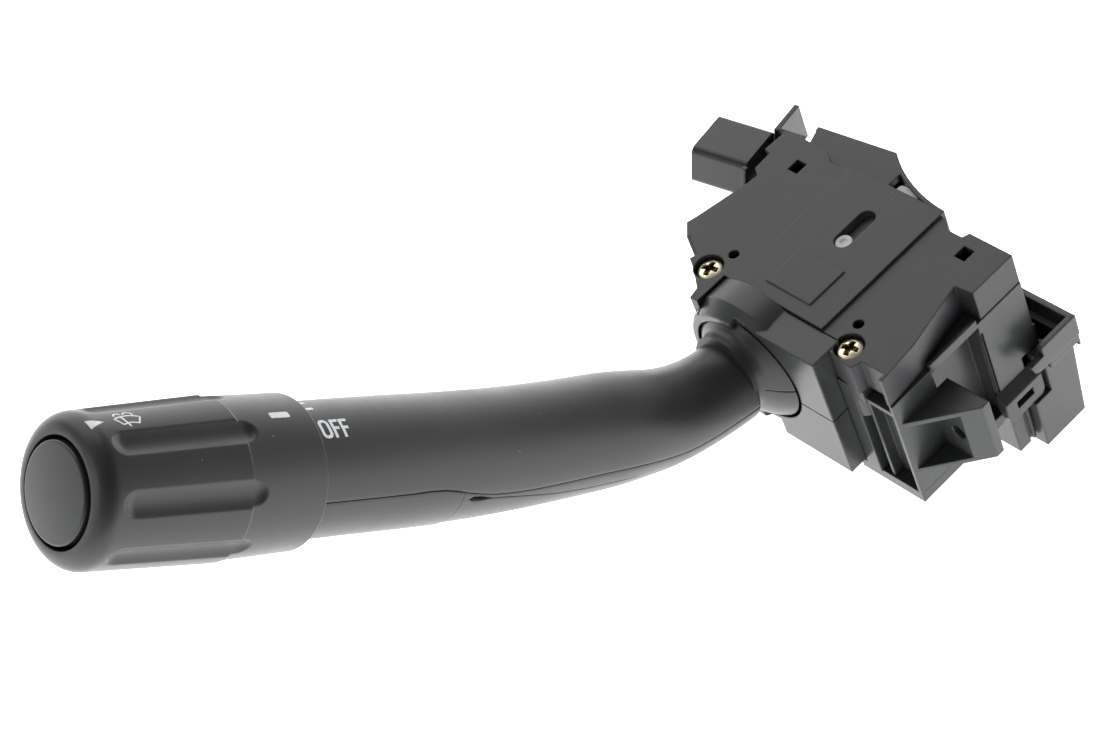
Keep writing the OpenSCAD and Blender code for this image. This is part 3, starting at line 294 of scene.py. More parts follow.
FINISHES = {
    "cover_plastic": plastic("cover_plastic", (0.030, 0.031, 0.034), 0.42,
                             grain=0.0004, depth=0.00003, cloud=0.06, dust=0.25, ease=0.0006),
    "case_plastic": plastic("case_plastic", (0.036, 0.038, 0.038), 0.32,
                            grain=0.0006, depth=0.00002, cloud=0.12, dust=0.35, ease=0.0007),
    "lever_plastic": plastic("lever_plastic", (0.024, 0.026, 0.025), 0.37,
                             grain=0.0004, depth=0.00002, cloud=0.08, dust=0.8),
    "button_plastic": plastic("button_plastic", (0.026, 0.028, 0.028), 0.36,
                              grain=0.0005, depth=0.00002, cloud=0.08, dust=0.3),
    "screw_metal": metal("screw_metal", (0.86, 0.79, 0.56), (0.70, 0.60, 0.36), 0.24,
                         streak=(700.0, 700.0, 2600.0), sunk=CROSS_PAINTED_SHADE),
    "nylon_natural": nylon("nylon_natural"),
    "nylon_grey": plastic("nylon_grey", (0.60, 0.60, 0.57), 0.42,
                          grain=0.0006, depth=0.00002, cloud=0.05, ease=0.0003),
    "bracket_steel": metal("bracket_steel", (0.55, 0.56, 0.58), (0.42, 0.42, 0.43), 0.40,
                           streak=(200.0, 2400.0, 2400.0), ease=0.0003),
    "pin_steel": metal("pin_steel", (0.66, 0.67, 0.69), (0.52, 0.52, 0.53), 0.22,
                       streak=(2600.0, 120.0, 2600.0), ease=0.0003),
    "spring_steel": metal("spring_steel", (0.60, 0.61, 0.63), (0.45, 0.45, 0.46), 0.26,
                          streak=(1800.0, 1800.0, 1800.0)),
    "contact_brass": metal("contact_brass", (0.78, 0.58, 0.28), (0.60, 0.40, 0.18), 0.28,
                           streak=(260.0, 2200.0, 2200.0), ease=0.0002),
    "board_laminate": laminate("board_laminate"),
    "connector_plastic": plastic("connector_plastic", (0.048, 0.050, 0.050), 0.33,
                                 grain=0.0007, depth=0.00003, cloud=0.10, dust=0.2, ease=0.0010),
}
INK = print_ink("print_ink")
SLOTS = {p["node"]: p["material_slot"] for p in frame["record"]["subparts"]}
BODY = {n: b for b, ns in frame["record"]["behaviour"]["bodies"].items() for n in ns}


# ---------------------------------------------------------------- meshes

MERGE = 0.000004  # metres, within which a CAD node's corners are one
FLAT = math.radians(0.6)
EASED_NODES = ("upper_cover", "switch_case", "base_plate", "hood_upper", "hood_lower", "hazard_housing",
               "hazard_button", "harness_connector", "lower_connector")
EDGE_WIDTH, EDGE_SEGMENTS = 0.25, 2
EDGE_ANGLE = math.radians(32.0)
NODE_ANGLE = math.radians(30.0)


def piece(name, body, slot, material=None):
    """An object at the origin for a finished mesh, riding on its body."""
    made = bpy.data.objects.new(name, bpy.data.meshes.new(name))
    bpy.context.scene.collection.objects.link(made)
    made.data.materials.append(material or FINISHES[slot])
    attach(made, body)
    return made


def eased_copy(node):
    """A copy of a CAD node with its corners merged, its flats joined and its edges rounded by a small bevel."""
    made = piece(node + "_moulded", BODY[node], SLOTS[node])
    work = bmesh.new()
    work.from_mesh(NODES[node].data)
    bmesh.ops.remove_doubles(work, verts=work.verts, dist=MERGE)
    bmesh.ops.dissolve_limit(
        work, angle_limit=FLAT, verts=work.verts, edges=work.edges, use_dissolve_boundaries=False)
    for face in work.faces:
        face.smooth = True
    work.to_mesh(made.data)
    work.free()
    made.data.set_sharp_from_angle(angle=EDGE_ANGLE)
    bevel = made.modifiers.new("edge", "BEVEL")
    bevel.width, bevel.segments = EDGE_WIDTH * MM, EDGE_SEGMENTS
    bevel.limit_method, bevel.angle_limit = "ANGLE", EDGE_ANGLE
    bevel.harden_normals = True
    bevel.miter_outer = "MITER_ARC"
    flats = made.modifiers.new("flats", "WEIGHTED_NORMAL")
    flats.keep_sharp = True
    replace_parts(made, node)


def dress_nodes():
    """Every CAD node takes its slot's finish, also those that a finer piece stands for."""
    for name, node in NODES.items():
        node.data.materials.clear()
        node.data.materials.append(FINISHES[SLOTS[name]])
        node.data.set_sharp_from_angle(angle=NODE_ANGLE)
        node.data.polygons.foreach_set("use_smooth", np.ones(len(node.data.polygons), bool))


# ---------------------------------------------------------------- surfaces worked out on grids


def solid(made, points, quads, sharp, triangles=()):
    """Puts a closed surface into a piece's mesh: points in millimetres, faces turned outwards by the volume's sign.

    Edges sharper than that many degrees stay sharp. triangles holds groups of faces besides the quads.
    """
    points = np.asarray(points, float).reshape(-1, 3)
    a, b, c, d = (points[quads[:, k]] for k in range(4))
    volume = (np.cross(b - a, c - a) * a).sum() + (np.cross(c - a, d - a) * a).sum()
    for group in triangles:
        a, b, c = (points[group[:, k]] for k in range(3))
        volume += (np.cross(b - a, c - a) * a).sum()
    step = 1 if volume > 0 else -1
    faces = [face[::step] for group in (quads, *triangles) for face in group.tolist()]
    mesh = made.data
    mesh.from_pydata((points * MM).tolist(), [], faces)
    mesh.polygons.foreach_set("use_smooth", np.ones(len(mesh.polygons), bool))
    mesh.set_sharp_from_angle(angle=math.radians(sharp))
    mesh.update()
    return made


def grid_quads(rows, columns, round_rows=False, round_columns=False):
    """Quads of a grid of points, row by row, closed along its rows or its columns where asked."""
    i = np.arange(rows if round_rows else rows - 1)
    j = np.arange(columns if round_columns else columns - 1)
    i, j = (a.ravel() for a in np.meshgrid(i, j, indexing="ij"))
    i2, j2 = (i + 1) % rows, (j + 1) % columns
    return np.stack([i * columns + j, i * columns + j2, i2 * columns + j2, i2 * columns + j], 1)


def pole_fans(rows, columns):
    """Triangles that close a grid, rounded along its columns, onto two poles put after its last point."""
    j = np.arange(columns)
    j2, last = (j + 1) % columns, (rows - 1) * columns
    low = np.stack([np.full(columns, rows * columns), j2, j], 1)
    high = np.stack([np.full(columns, rows * columns + 1), last + j, last + j2], 1)
    return low, high


def eased_profile(corners, steps):
    """A profile through corners given as (z, r, radius): each corner becomes an arc that touches both its sides."""
    points = np.array([corner[:2] for corner in corners], float)
    out = []
    for k, (z, r, radius) in enumerate(corners):
        if not radius or k in (0, len(corners) - 1):
            out.append([(z, r)])
            continue
        here = points[k]
        before, after = points[k - 1] - here, points[k + 1] - here
        before, after = before / np.hypot(*before), after / np.hypot(*after)
        half = math.acos(max(-1.0, min(1.0, float(before @ after)))) / 2
        reach = radius / math.tan(half)
        centre = here + (before + after) / np.hypot(*(before + after)) * radius / math.sin(half)
        first, last = here + before * reach - centre, here + after * reach - centre
        t = np.linspace(0.0, 1.0, steps + 1)[:, None]
        turn = math.acos(max(-1.0, min(1.0, float(first @ last) / radius ** 2)))
        arc = (np.sin((1 - t) * turn) * first + np.sin(t * turn) * last) / math.sin(turn)
        out.append(centre + arc)
    return np.concatenate([np.asarray(part, float).reshape(-1, 2) for part in out])


def filled_in(profile, step):
    """The same profile with points added so that no two are further apart than the step."""
    out = [profile[:1]]
    for a, b in zip(profile[:-1], profile[1:]):
        n = max(1, math.ceil(float(np.hypot(*(b - a))) / step))
        out.append(a + (b - a) * np.linspace(0, 1, n + 1)[1:, None])
    return np.concatenate(out)


def smooth_step(x, low, high):
    """0 below low, 1 above high, and an S curve between them."""
    t = np.clip((x - low) / (high - low), 0.0, 1.0)
    return t * t * (3.0 - 2.0 * t)


def soft_least(a, b, k):
    """The lower of two surfaces, with the edge where they cross eased over the width k."""
    near = np.maximum(k - np.abs(a - b), 0.0) / k
    return np.minimum(a, b) - near * near * k / 4.0


# ---------------------------------------------------------------- lever's path and skin

PIVOT = np.array([5.5, 7.2, 30.3])
SIDE = np.array([0.0, -1.0, 0.0])
LEVER_L = 166.6  # from the pivot to the knob's base, along the path
BENDS = ((12.4, 61.4, math.radians(37.1)), (75.057, 550.0, math.radians(5.4)))  # start, radius and angle
PATH_STEP = 0.025

NECK_R = 11.4
SWELLS = ((3.0, 26.4, 70.0), (1.4, 50.0, 150.0))  # growth of the skin's radius, and where it starts and ends
SKIN_T = 2.0
SKIN_START = 22.2
UPPER_END = 169.0  # inside the knob's skirt
COVER_S = 124.0  # where the wire cover starts
COVER_PROUD, COVER_GAP = 0.22, 0.3
COVER_LEVELS = (126.0, 150.0)  # where the cover goes back to the skin's radius
HALF_GIRTH = 46.0
PARTING_GAP = 0.05
# Where the two halves of the skin meet on the side: distance along the path, degrees from the side
PARTING_S = np.array([20, 24, 30, 38, 47, 56, 65, 78, 92, 101, 107, 113, 118, 122, 126, 130, 134, 140, 170])
PARTING_A = np.array([-14.4, -14, -14.2, -16, -17, -16.2, -14.4, -13.4, -14.2, -14.6, -14, -12.4, -9.6, -7,
                      -3.6, -1.4, -0.7, -1.3, -1.3])

# The lip of the lower half, which hides the wire's channel: a groove that opens into a mouth
LIP_S = np.array([20, 40, 55, 65, 80, 90, 100, 109, 115, 119, 122, 126])
LIP_A = np.array([-40, -36, -33, -31.7, -30.2, -27.6, -22.2, -17.9, -15.8, -14.7, -13.6, -13.2])
LIP_HALF, LIP_DEPTH = 0.13, 0.30
LIP_STARTS, LIP_ENDS = (58.0, 76.0), (121.2, 122.0)
MOUTH_HALF, MOUTH_DEPTH = 0.30, 1.4  # what the mouth adds to the groove
MOUTH_STARTS, MOUTH_ENDS = (113.5, 118.5), (120.2, 121.2)
MOUTH_ROWS = (111.0, 122.6, 0.3)  # a finer stretch: first, last, step
LIP_COLUMNS = np.array([-3.2, -1.8, -1.1, -0.7, -0.35, 0.0, 0.35, 0.7, 1.1, 1.8, 3.2])  # in half widths

# How a band of skin is lowered near its long edges and near its two ends, which rounds them
EDGE_AT, EDGE_DROP = np.array([0.0, 0.08, 0.28]), [0.26, 0.09, 0.0]
END_AT, END_DROP = np.array([0.0, 0.08, 0.3]), [0.28, 0.09, 0.0]


def lever_slope(s):
    """The path's slope at distance s from the pivot: level, one tight bend, straight, and a long slight bend."""
    return sum(np.clip((s - start) / radius, 0, angle) for start, radius, angle in BENDS)


PATH_S = np.linspace(0.0, 240.0, 9601)
PATH_SLOPE = lever_slope((PATH_S[1:] + PATH_S[:-1]) / 2)
PATH_X = np.concatenate([[0], np.cumsum(np.cos(PATH_SLOPE) * PATH_STEP)])
PATH_Z = np.concatenate([[0], np.cumsum(np.sin(PATH_SLOPE) * PATH_STEP)])


def skin_r(s):
    """The skin's radius: the neck's, a swell over the first bend, and a slighter one towards the knob."""
    return NECK_R + sum(growth * smooth_step(s, low, high) for growth, low, high in SWELLS)


def parting(s):
    """Angle of the line between the skin's halves, down from the side."""
    return np.radians(np.interp(s, PARTING_S, PARTING_A))


def round_lever(s, angle, r):
    """A point r from the path at distance s along it, turned by the angle from the side (-Y) towards the driver."""
    slope = lever_slope(s)
    up = np.stack([np.sin(slope), 0 * slope, np.cos(slope)], -1)
    x = PIVOT[0] - np.interp(s, PATH_S, PATH_X)
    z = PIVOT[2] + np.interp(s, PATH_S, PATH_Z)
    middle = np.stack([x, PIVOT[1] + 0 * s, z], -1)
    return middle + r[..., None] * (np.cos(angle)[..., None] * SIDE + np.sin(angle)[..., None] * up)


def shell(name, s, edge_drop, angle, r):
    """Half of the skin, swept along the path: a closed band, its outside at r, its inside one wall below the skin.

    Row k lies at distance s[k]. angle holds a value for each row and column, and r one for each row, or as many as
    angle. The two long edges are rounded by lowering r near them, and edge_drop lowers whole rows.
    """
    away = np.minimum(np.abs(angle - angle[:, :1]), np.abs(angle[:, -1:] - angle)) * r
    r = r - np.interp(away, EDGE_AT, EDGE_DROP) - edge_drop[:, None]
    s = np.repeat(s[:, None], angle.shape[1], 1)
    outer = round_lever(s, angle, r)
    inner = round_lever(s, angle, skin_r(s) - SKIN_T)
    band = np.concatenate([outer, inner[:, ::-1]], 1)
    rows, wide = band.shape[:2]
    j = np.arange(wide // 2 - 1)
    ends = [np.stack([k + j, k + wide - 1 - j, k + wide - 2 - j, k + j + 1], 1)[:, ::step]
            for k, step in ((0, 1), ((rows - 1) * wide, -1))]
    made = piece(name, "lever", "lever_plastic")
    return solid(made, band, np.concatenate([grid_quads(rows, wide, round_columns=True), *ends]), 40.0)


def rows_along(first, last, step, fine=()):
    """Rows' places along the lever, closer at both ends and in fine stretches, and how far each is lowered."""
    parts = [np.arange(first + 0.6, last - 0.5, step), first + END_AT, last - END_AT]
    parts += [np.arange(a, b, c) for a, b, c in fine]
    s = np.unique(np.round(np.concatenate(parts), 3))
    return s, np.interp(np.minimum(s - first, last - s), END_AT, END_DROP)


def edge_columns(width, count):
    """Places from 0 to 1 across a band of that width, with close ones at both edges."""
    near, inset = EDGE_AT / width, 0.9 / width
    return np.concatenate([near, np.linspace(inset, 1 - inset, count), 1 - near[::-1]])


def make_upper_skin():
    """The upper half of the skin, over the whole length."""
    s, drop = rows_along(SKIN_START, UPPER_END, 1.25)
    r = skin_r(s)
    low = parting(s) + PARTING_GAP / r
    angle = low[:, None] + (math.pi - 2 * low)[:, None] * edge_columns(HALF_GIRTH, 56)
    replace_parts(shell("lever_upper_skin", s, drop, angle, r[:, None]), "lever_upper_shell")


def make_lower_skin():
    """The lower half, up to the wire cover, with the lip's groove on both sides.

    Columns run from the parting line over the lip, where they gather, to the underside, and the far side mirrors
    them. The groove fades in along the path, opens into its mouth, and ends just before the cover.
    """
    s, drop = rows_along(SKIN_START, COVER_S - 0.1, 1.1, [MOUTH_ROWS])
    r = skin_r(s)
    part = parting(s) - PARTING_GAP / r
    lip = np.radians(np.interp(s, LIP_S, LIP_A))
    mouth = smooth_step(s, *MOUTH_STARTS) * (1 - smooth_step(s, *MOUTH_ENDS))
    fade = smooth_step(s, *LIP_STARTS) * (1 - smooth_step(s, *LIP_ENDS))
    half = LIP_HALF + MOUTH_HALF * mouth
    depth = fade * (LIP_DEPTH + MOUTH_DEPTH * mouth)

    edge = part - EDGE_AT[-1] / r
    above_lip = lip + 3.4 * half / r
    side = [part[:, None] - EDGE_AT / r[:, None],
            edge[:, None] + (above_lip - edge)[:, None] * np.linspace(0, 1, 5)[1:],
            lip[:, None] - LIP_COLUMNS * (half / r)[:, None]]
    last = side[-1][:, -1:]
    side.append(last + (-math.pi / 2 - last) * np.linspace(0, 1, 14)[1:])
    side = np.concatenate(side, 1)
    angle = np.concatenate([side, -math.pi - side[:, -2::-1]], 1)

    folded = np.where(angle < -math.pi / 2, -math.pi - angle, angle)
    from_lip = (folded - lip[:, None]) * r[:, None]
    dented = r[:, None] - depth[:, None] * np.exp(-(from_lip / half[:, None]) ** 2)
    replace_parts(shell("lever_lower_skin", s, drop, angle, dented), "lever_lower_shell")


def make_wire_cover():
    """The cover under the lever's end, slightly proud of the lower half where they meet."""
    s, drop = rows_along(COVER_S, LEVER_L - COVER_GAP, 1.2)
    r = skin_r(s) + COVER_PROUD * (1 - smooth_step(s, *COVER_LEVELS))
    low = parting(s) - PARTING_GAP / r
    angle = low[:, None] - (math.pi + 2 * low)[:, None] * edge_columns(HALF_GIRTH, 50)
    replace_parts(shell("wire_cover_skin", s, drop, angle, r[:, None]), "wire_cover")


# ---------------------------------------------------------------- lever's bell and the hood beside it

NECK_END = 24.0
BELL_R, BELL_WALL = 22.9, 2.0
BELL_SHIFT = np.array([0.0, -0.2, 0.0])
BORE_R, BORE_START = 5.5, 17.5
COLLAR_R, COLLAR_START, COLLAR_END = 10.9, 22.4, 23.2
FILLET = 3.2
RIM_FROM_PIVOT = 15.1
SEAM_A, SEAM_DEPTH, SEAM_SPREAD = -8.6, 0.35, 0.30  # degrees, millimetres, square degrees
SEAM_FADES = (11.2, 12.0)  # distances from the neck's middle line

CHEEK_X = np.array([-11.3, -9.2, -7.2, -0.4])
CHEEK_Y = (19.75, 22.8)
BARREL_X, BARREL_R = (-11.6, -7.2), (18.7, 20.93)  # the barrel's front chamfer
ROOM_R, CHAMBER_R = 23.75, 19.75  # the room in which the bell tilts, and the barrel's inside


def make_bell():
    """The bell: a slice of a sphere about the pivot that a fillet joins to a collar round the neck, with a seam.

    Rows run from the collar's end over the outside to the rim, where a plane across X cuts the sphere, and back
    inside. l is a point's distance along the neck, r that from its middle line.
    """
    slope = float(lever_slope(np.array([NECK_END]))[0])
    out = np.array([-math.cos(slope), 0.0, math.sin(slope)])
    up = np.array([math.sin(slope), 0.0, math.cos(slope)])
    near_seam = SEAM_A + np.array([-1.6, -0.8, -0.4, 0, 0.4, 0.8, 1.6])
    turn = np.radians(np.unique(np.concatenate([np.arange(-180, 180, 3.0), near_seam])))
    even = np.ones_like(turn)

    # The fillet's centre lies one fillet's radius outside both the sphere and the collar
    centre_r = COLLAR_R + FILLET
    centre_l = math.sqrt((BELL_R + FILLET) ** 2 - centre_r ** 2)
    touch = math.atan2(centre_r, centre_l)
    rows = [(l * even, COLLAR_R * even) for l in (COLLAR_END, COLLAR_START)]
    rows += [((centre_l - FILLET * math.sin(a)) * even, (centre_r - FILLET * math.cos(a)) * even)
             for a in np.linspace(0, math.pi / 2 - touch, 9)]

    # Angle from the neck's direction at which each column meets the rim's plane
    along, over = -out[0], -up[0] * np.sin(turn)
    rim = np.arctan2(over, along) + np.arccos(np.clip(RIM_FROM_PIVOT / BELL_R / np.hypot(along, over), -1, 1))

    def on_sphere(share, r):
        a = touch + (rim - touch) * share
        return r * np.cos(a), r * np.sin(a)

    rows += [on_sphere(share, BELL_R) for share in np.linspace(0, 1, 24)[1:-1]]
    rows += [on_sphere(0.985, BELL_R - 0.04), on_sphere(1.0, BELL_R - 0.2)]
    outside = len(rows)
    rows += [on_sphere(share, BELL_R - BELL_WALL) for share in (1.0, 0.6, 0.2)]
    rows += [(l * even, BORE_R * even) for l in (BORE_START, COLLAR_END)]
    l, r = (np.array(part) for part in zip(*rows))

    seam = SEAM_DEPTH * np.exp(-(np.degrees(turn) - SEAM_A) ** 2 / SEAM_SPREAD)
    r = r - seam * smooth_step(r, *SEAM_FADES) * (np.arange(len(rows)) < outside)[:, None]
    across = np.cos(turn)[:, None] * SIDE + np.sin(turn)[:, None] * up
    points = PIVOT + BELL_SHIFT + l[..., None] * out + r[..., None] * across
    made = piece("lever_bell_moulded", "lever", "lever_plastic")
    solid(made, points, grid_quads(len(rows), len(turn), True, True), 40.0)
    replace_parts(made, "lever_bell")


def make_hood_cheek():
    """The barrel's left cheek beside the cover's wing: the barrel's wall between two planes across Y.

    Its top follows the barrel, and its underside stays outside the bell's room.
    """
    y = np.linspace(*CHEEK_Y, 9)
    r = np.interp(CHEEK_X, BARREL_X, BARREL_R)[:, None]
    room = np.minimum(np.sqrt(ROOM_R ** 2 - (CHEEK_X - PIVOT[0]) ** 2), CHAMBER_R)[:, None]
    top, low = (PIVOT[2] + np.sqrt(edge ** 2 - (y - PIVOT[1]) ** 2) for edge in (r, room))
    z = np.concatenate([top, low[:, ::-1]], 1)
    rows, wide = z.shape
    x = np.repeat(CHEEK_X[:, None], wide, 1)
    points = np.stack([x, np.repeat(np.concatenate([y, y[::-1]])[None, :], rows, 0), z], -1)
    j = np.arange(len(y) - 1)
    end = np.stack([j, wide - 1 - j, wide - 2 - j, j + 1], 1)
    caps = [end, end[:, ::-1] + (rows - 1) * wide]
    made = piece("hood_cheek", "housing", "case_plastic")
    solid(made, points, np.concatenate([grid_quads(rows, wide, round_columns=True), *caps]), 40.0)


# ---------------------------------------------------------------- knob and its button

KNOB_BASE = round_lever(np.array([LEVER_L]), np.zeros(1), np.zeros(1))[0]
KNOB_A = math.radians(42.5)
KNOB_AXIS = np.array([-math.cos(KNOB_A), 0.0, math.sin(KNOB_A)])
KNOB_UP = np.array([math.sin(KNOB_A), 0.0, math.cos(KNOB_A)])
KNOB_L = 61.6  # to the middle of the button's dome
KNOB_FRONT = 60.3
SKIRT_END = 0.9
KNOB_BACK, RECESS_FLOOR = 7.0, 52.8
KNOB_BORE_R, RECESS_R = 3.1, 12.4
KNOB_PROFILE = eased_profile([
    (KNOB_BACK, KNOB_BORE_R, 0), (KNOB_BACK, 15.9, 0.4), (SKIRT_END, 16.2, 0.3), (SKIRT_END, 18.0, 0.5),
    (21.6, 18.3, 0.2), (22.2, 18.64, 0.4), (KNOB_FRONT, 17.15, 4.6), (KNOB_FRONT, RECESS_R, 0.2),
    (RECESS_FLOOR, 12.2, 0.3), (RECESS_FLOOR, KNOB_BORE_R, 0.3), (KNOB_BACK, KNOB_BORE_R, 0)], 9)[:-1]
KNOB_OUTSIDE = slice(np.argmax(KNOB_PROFILE[:, 1] > 17.0), np.argmax(KNOB_PROFILE[:, 0]) + 1)
KNOB_COLUMNS, KNOB_ROW_STEP = 400, 0.34
GRIP_R = 16.45  # grooves cut only what lies outside this radius
GROOVES = 8
GROOVE_AT = math.radians(15.4)
GROOVE_R = 5.5
GROOVE_OUT = 21.80  # from the knob's axis to a groove's middle line, at its front end
GROOVE_LEAN = math.radians(2.0)
GROOVE_REAR, GROOVE_FRONT = 20.9, 51.7
GROOVE_EASE = 0.16

BUTTON_R, BUTTON_DOME = 11.4, 0.6
BUTTON_RIM_R = 10.6  # where the dome gives way to the rim's arc
BUTTON_COLUMNS = 128
BUTTON_BACK = 57.6
PLUNGER_R, PLUNGER_END = 2.0, -16.0


def round_knob(z, angle, r):
    """A point z along the knob's axis and r from it, turned by the angle from the side towards the driver."""
    z, angle, r = np.broadcast_arrays(z, angle, r)
    return (KNOB_BASE + z[..., None] * KNOB_AXIS
            + r[..., None] * (np.cos(angle)[..., None] * SIDE + np.sin(angle)[..., None] * KNOB_UP))


def groove_surface(z, angle):
    """Distance from the knob's axis to the finger grooves, and one far outside the knob where there is no groove.

    A groove is a cylinder with round ends whose middle line leans outwards to the rear.
    """
    step = 2 * math.pi / GROOVES
    off = (angle - GROOVE_AT + step / 2) % step - step / 2
    distance = GROOVE_OUT + (GROOVE_FRONT - z) * math.tan(GROOVE_LEAN)
    beyond = np.maximum(z - GROOVE_FRONT, 0.0) + np.maximum(GROOVE_REAR - z, 0.0)
    under = GROOVE_R ** 2 - beyond ** 2 - (distance * np.sin(off)) ** 2
    return np.where(under > 0, distance * np.cos(off) - np.sqrt(np.maximum(under, 0.0)), 99.0)


def make_knob():
    """The knob: a profile turned round the axis, and lowered with eased edges where a groove lies under it."""
    before, after = KNOB_PROFILE[:KNOB_OUTSIDE.start], KNOB_PROFILE[KNOB_OUTSIDE.stop:]
    profile = np.concatenate([before, filled_in(KNOB_PROFILE[KNOB_OUTSIDE], KNOB_ROW_STEP), after])
    z, r = profile[:, :1], profile[:, 1:]
    angle = np.linspace(-math.pi, math.pi, KNOB_COLUMNS, endpoint=False)[None, :]
    cut = soft_least(np.repeat(r, KNOB_COLUMNS, 1), groove_surface(z, angle), GROOVE_EASE)
    points = round_knob(z, angle, np.where((r > GRIP_R) & (z > SKIRT_END + 1.0), cut, r))
    made = piece("wiper_knob_moulded", "knob", "lever_plastic")
    solid(made, points, grid_quads(len(profile), KNOB_COLUMNS, True, True), 50.0)
    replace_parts(made, "wiper_knob")


def make_button():
    """Washer button: a shallow dome with an eased rim on a plunger, turned round the knob's axis."""
    dome = BUTTON_R ** 2 / (2 * BUTTON_DOME)
    r = np.linspace(0, BUTTON_RIM_R, 16)
    top = np.stack([KNOB_L - r ** 2 / (2 * dome), r], 1)
    rim = eased_profile([
        (*top[-1], 0), (KNOB_L - BUTTON_DOME, BUTTON_R, 0.55), (BUTTON_BACK, BUTTON_R, 0.2),
        (BUTTON_BACK, PLUNGER_R, 0.2), (PLUNGER_END, PLUNGER_R, 0.2), (PLUNGER_END, 0.0, 0)], 6)
    profile = np.concatenate([top, rim[1:]])
    inner = profile[1:-1]
    angle = np.linspace(0, 2 * math.pi, BUTTON_COLUMNS, endpoint=False)
    points = round_knob(inner[:, :1], angle[None, :], inner[:, 1:]).reshape(-1, 3)
    poles = [round_knob(z, 0.0, 0.0) for z in (profile[0, 0], profile[-1, 0])]
    made = piece("washer_button_moulded", "washer", "button_plastic")
    quads = grid_quads(len(inner), BUTTON_COLUMNS, round_columns=True)
    solid(made, np.concatenate([points, poles]), quads, 40.0, pole_fans(len(inner), BUTTON_COLUMNS))
    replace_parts(made, "washer_button")


# ---------------------------------------------------------------- printed marks

INK_T, INK_LIFT = 0.03, 0.004
INK_STRIP = 0.35
LETTER_H, LETTER_W, LETTER_T = 5.0, 2.35, 0.78
LETTER_BAR = 2.15  # height of the F's middle bar
LINE_W, BLADE_W = 0.42, 0.5


def rounded_box(low, high, r):
    """Outline of a rectangle whose four corners are quarter circles."""
    t = np.linspace(0, math.pi / 2, 6)
    quarter = np.stack([np.cos(t), np.sin(t)], 1) * r
    left, right, bottom, top = low[0] + r, high[0] - r, low[1] + r, high[1] - r
    out = []
    for k, centre in enumerate(((right, top), (left, top), (left, bottom), (right, bottom))):
        cosine, sine = math.cos(k * math.pi / 2), math.sin(k * math.pi / 2)
        out.append(quarter @ np.array([[cosine, sine], [-sine, cosine]]) + centre)
    return np.concatenate(out)


def stroke(points, width, closed=False):
    """Outlines of a line of even width: a band along an open line, or the outside and the inside of a closed one."""
    points = np.asarray(points, float)
    if closed:
        along = np.roll(points, -1, 0) - np.roll(points, 1, 0)
    else:
        along = np.gradient(points, axis=0)
    along /= np.hypot(*along.T)[:, None]
    aside = np.stack([-along[:, 1], along[:, 0]], 1) * width / 2
    if closed:
        return [points + aside, points - aside]
    return [np.concatenate([points + aside, (points - aside)[::-1]])]


def arc_points(centre, radius, first, last, steps):
    """Points on an arc between two angles in degrees."""
    t = np.radians(np.linspace(first, last, steps))
    return np.stack([centre[0] + radius * np.cos(t), centre[1] + radius * np.sin(t)], 1)


def printed(name, body, groups, place):
    """White print: each group of outlines is filled as a thin plate, cut into strips and laid on a surface by place.

    An outline lies in millimetres, to the right and up as the mark is read; one inside another leaves a hole.
    """
    work = bmesh.new()
    for outlines in groups:
        curve = bpy.data.curves.new(name, "CURVE")
        curve.dimensions, curve.fill_mode, curve.extrude = "2D", "BOTH", INK_T / 2
        for outline in outlines:
            spline = curve.splines.new("POLY")
            spline.points.add(len(outline) - 1)
            spline.points.foreach_set("co", np.pad(outline, ((0, 0), (0, 2))).ravel())
            spline.use_cyclic_u = True
        holder = bpy.data.objects.new(name, curve)
        plate = bpy.data.meshes.new_from_object(holder)
        work.from_mesh(plate)
        bpy.data.objects.remove(holder)
        bpy.data.curves.remove(curve)
        bpy.data.meshes.remove(plate)
    bmesh.ops.remove_doubles(work, verts=work.verts, dist=0.0005)
    for axis in (0, 1):
        ends = [v.co[axis] for v in work.verts]
        for cut in np.arange(min(ends) + INK_STRIP, max(ends), INK_STRIP):
            at, normal = [0.0] * 3, [0.0] * 3
            at[axis], normal[axis] = float(cut), 1.0
            bmesh.ops.bisect_plane(work, geom=work.verts[:] + work.edges[:] + work.faces[:], dist=0.0001,
                                   plane_co=at, plane_no=normal)
    bmesh.ops.triangulate(work, faces=[f for f in work.faces if len(f.verts) > 4])
    made = piece(name, body, None, INK)
    mesh = made.data
    work.to_mesh(mesh)
    work.free()

    flat = np.empty(len(mesh.vertices) * 3)
    mesh.vertices.foreach_get("co", flat)
    right, up, proud = flat.reshape(-1, 3).T
    mesh.vertices.foreach_set("co", (place(right, up, proud + INK_T / 2 + INK_LIFT) * MM).ravel())
    laid = bmesh.new()
    laid.from_mesh(mesh)
    bmesh.ops.recalc_face_normals(laid, faces=laid.faces)
    laid.to_mesh(mesh)
    laid.free()
    mesh.update()


def on_stalk(z0, degrees):
    """Lays a mark on the stalk: right runs from z0 towards the housing, up runs round it from that angle."""
    def place(right, up, proud):
        s = LEVER_L + z0 - right
        r = skin_r(s)
        return round_lever(s, math.radians(degrees) + up / r, r + proud)
    return place


def on_knob(z0, degrees):
    """Lays a mark on the knob's skirt or barrel in the same way."""
    def place(right, up, proud):
        z = z0 - right
        r = np.interp(z, *KNOB_PROFILE[KNOB_OUTSIDE].T)
        return round_knob(z, math.radians(degrees) + up / r, r + proud)
    return place


def letter_f(x):
    """Outline of an F that starts at x."""
    stem, end, top = x + LETTER_T, x + LETTER_W, LETTER_H - LETTER_T
    short = end - 0.35
    return np.array([(x, 0), (stem, 0), (stem, LETTER_BAR), (short, LETTER_BAR), (short, LETTER_BAR + LETTER_T),
                     (stem, LETTER_BAR + LETTER_T), (stem, top), (end, top), (end, LETTER_H), (x, LETTER_H)])


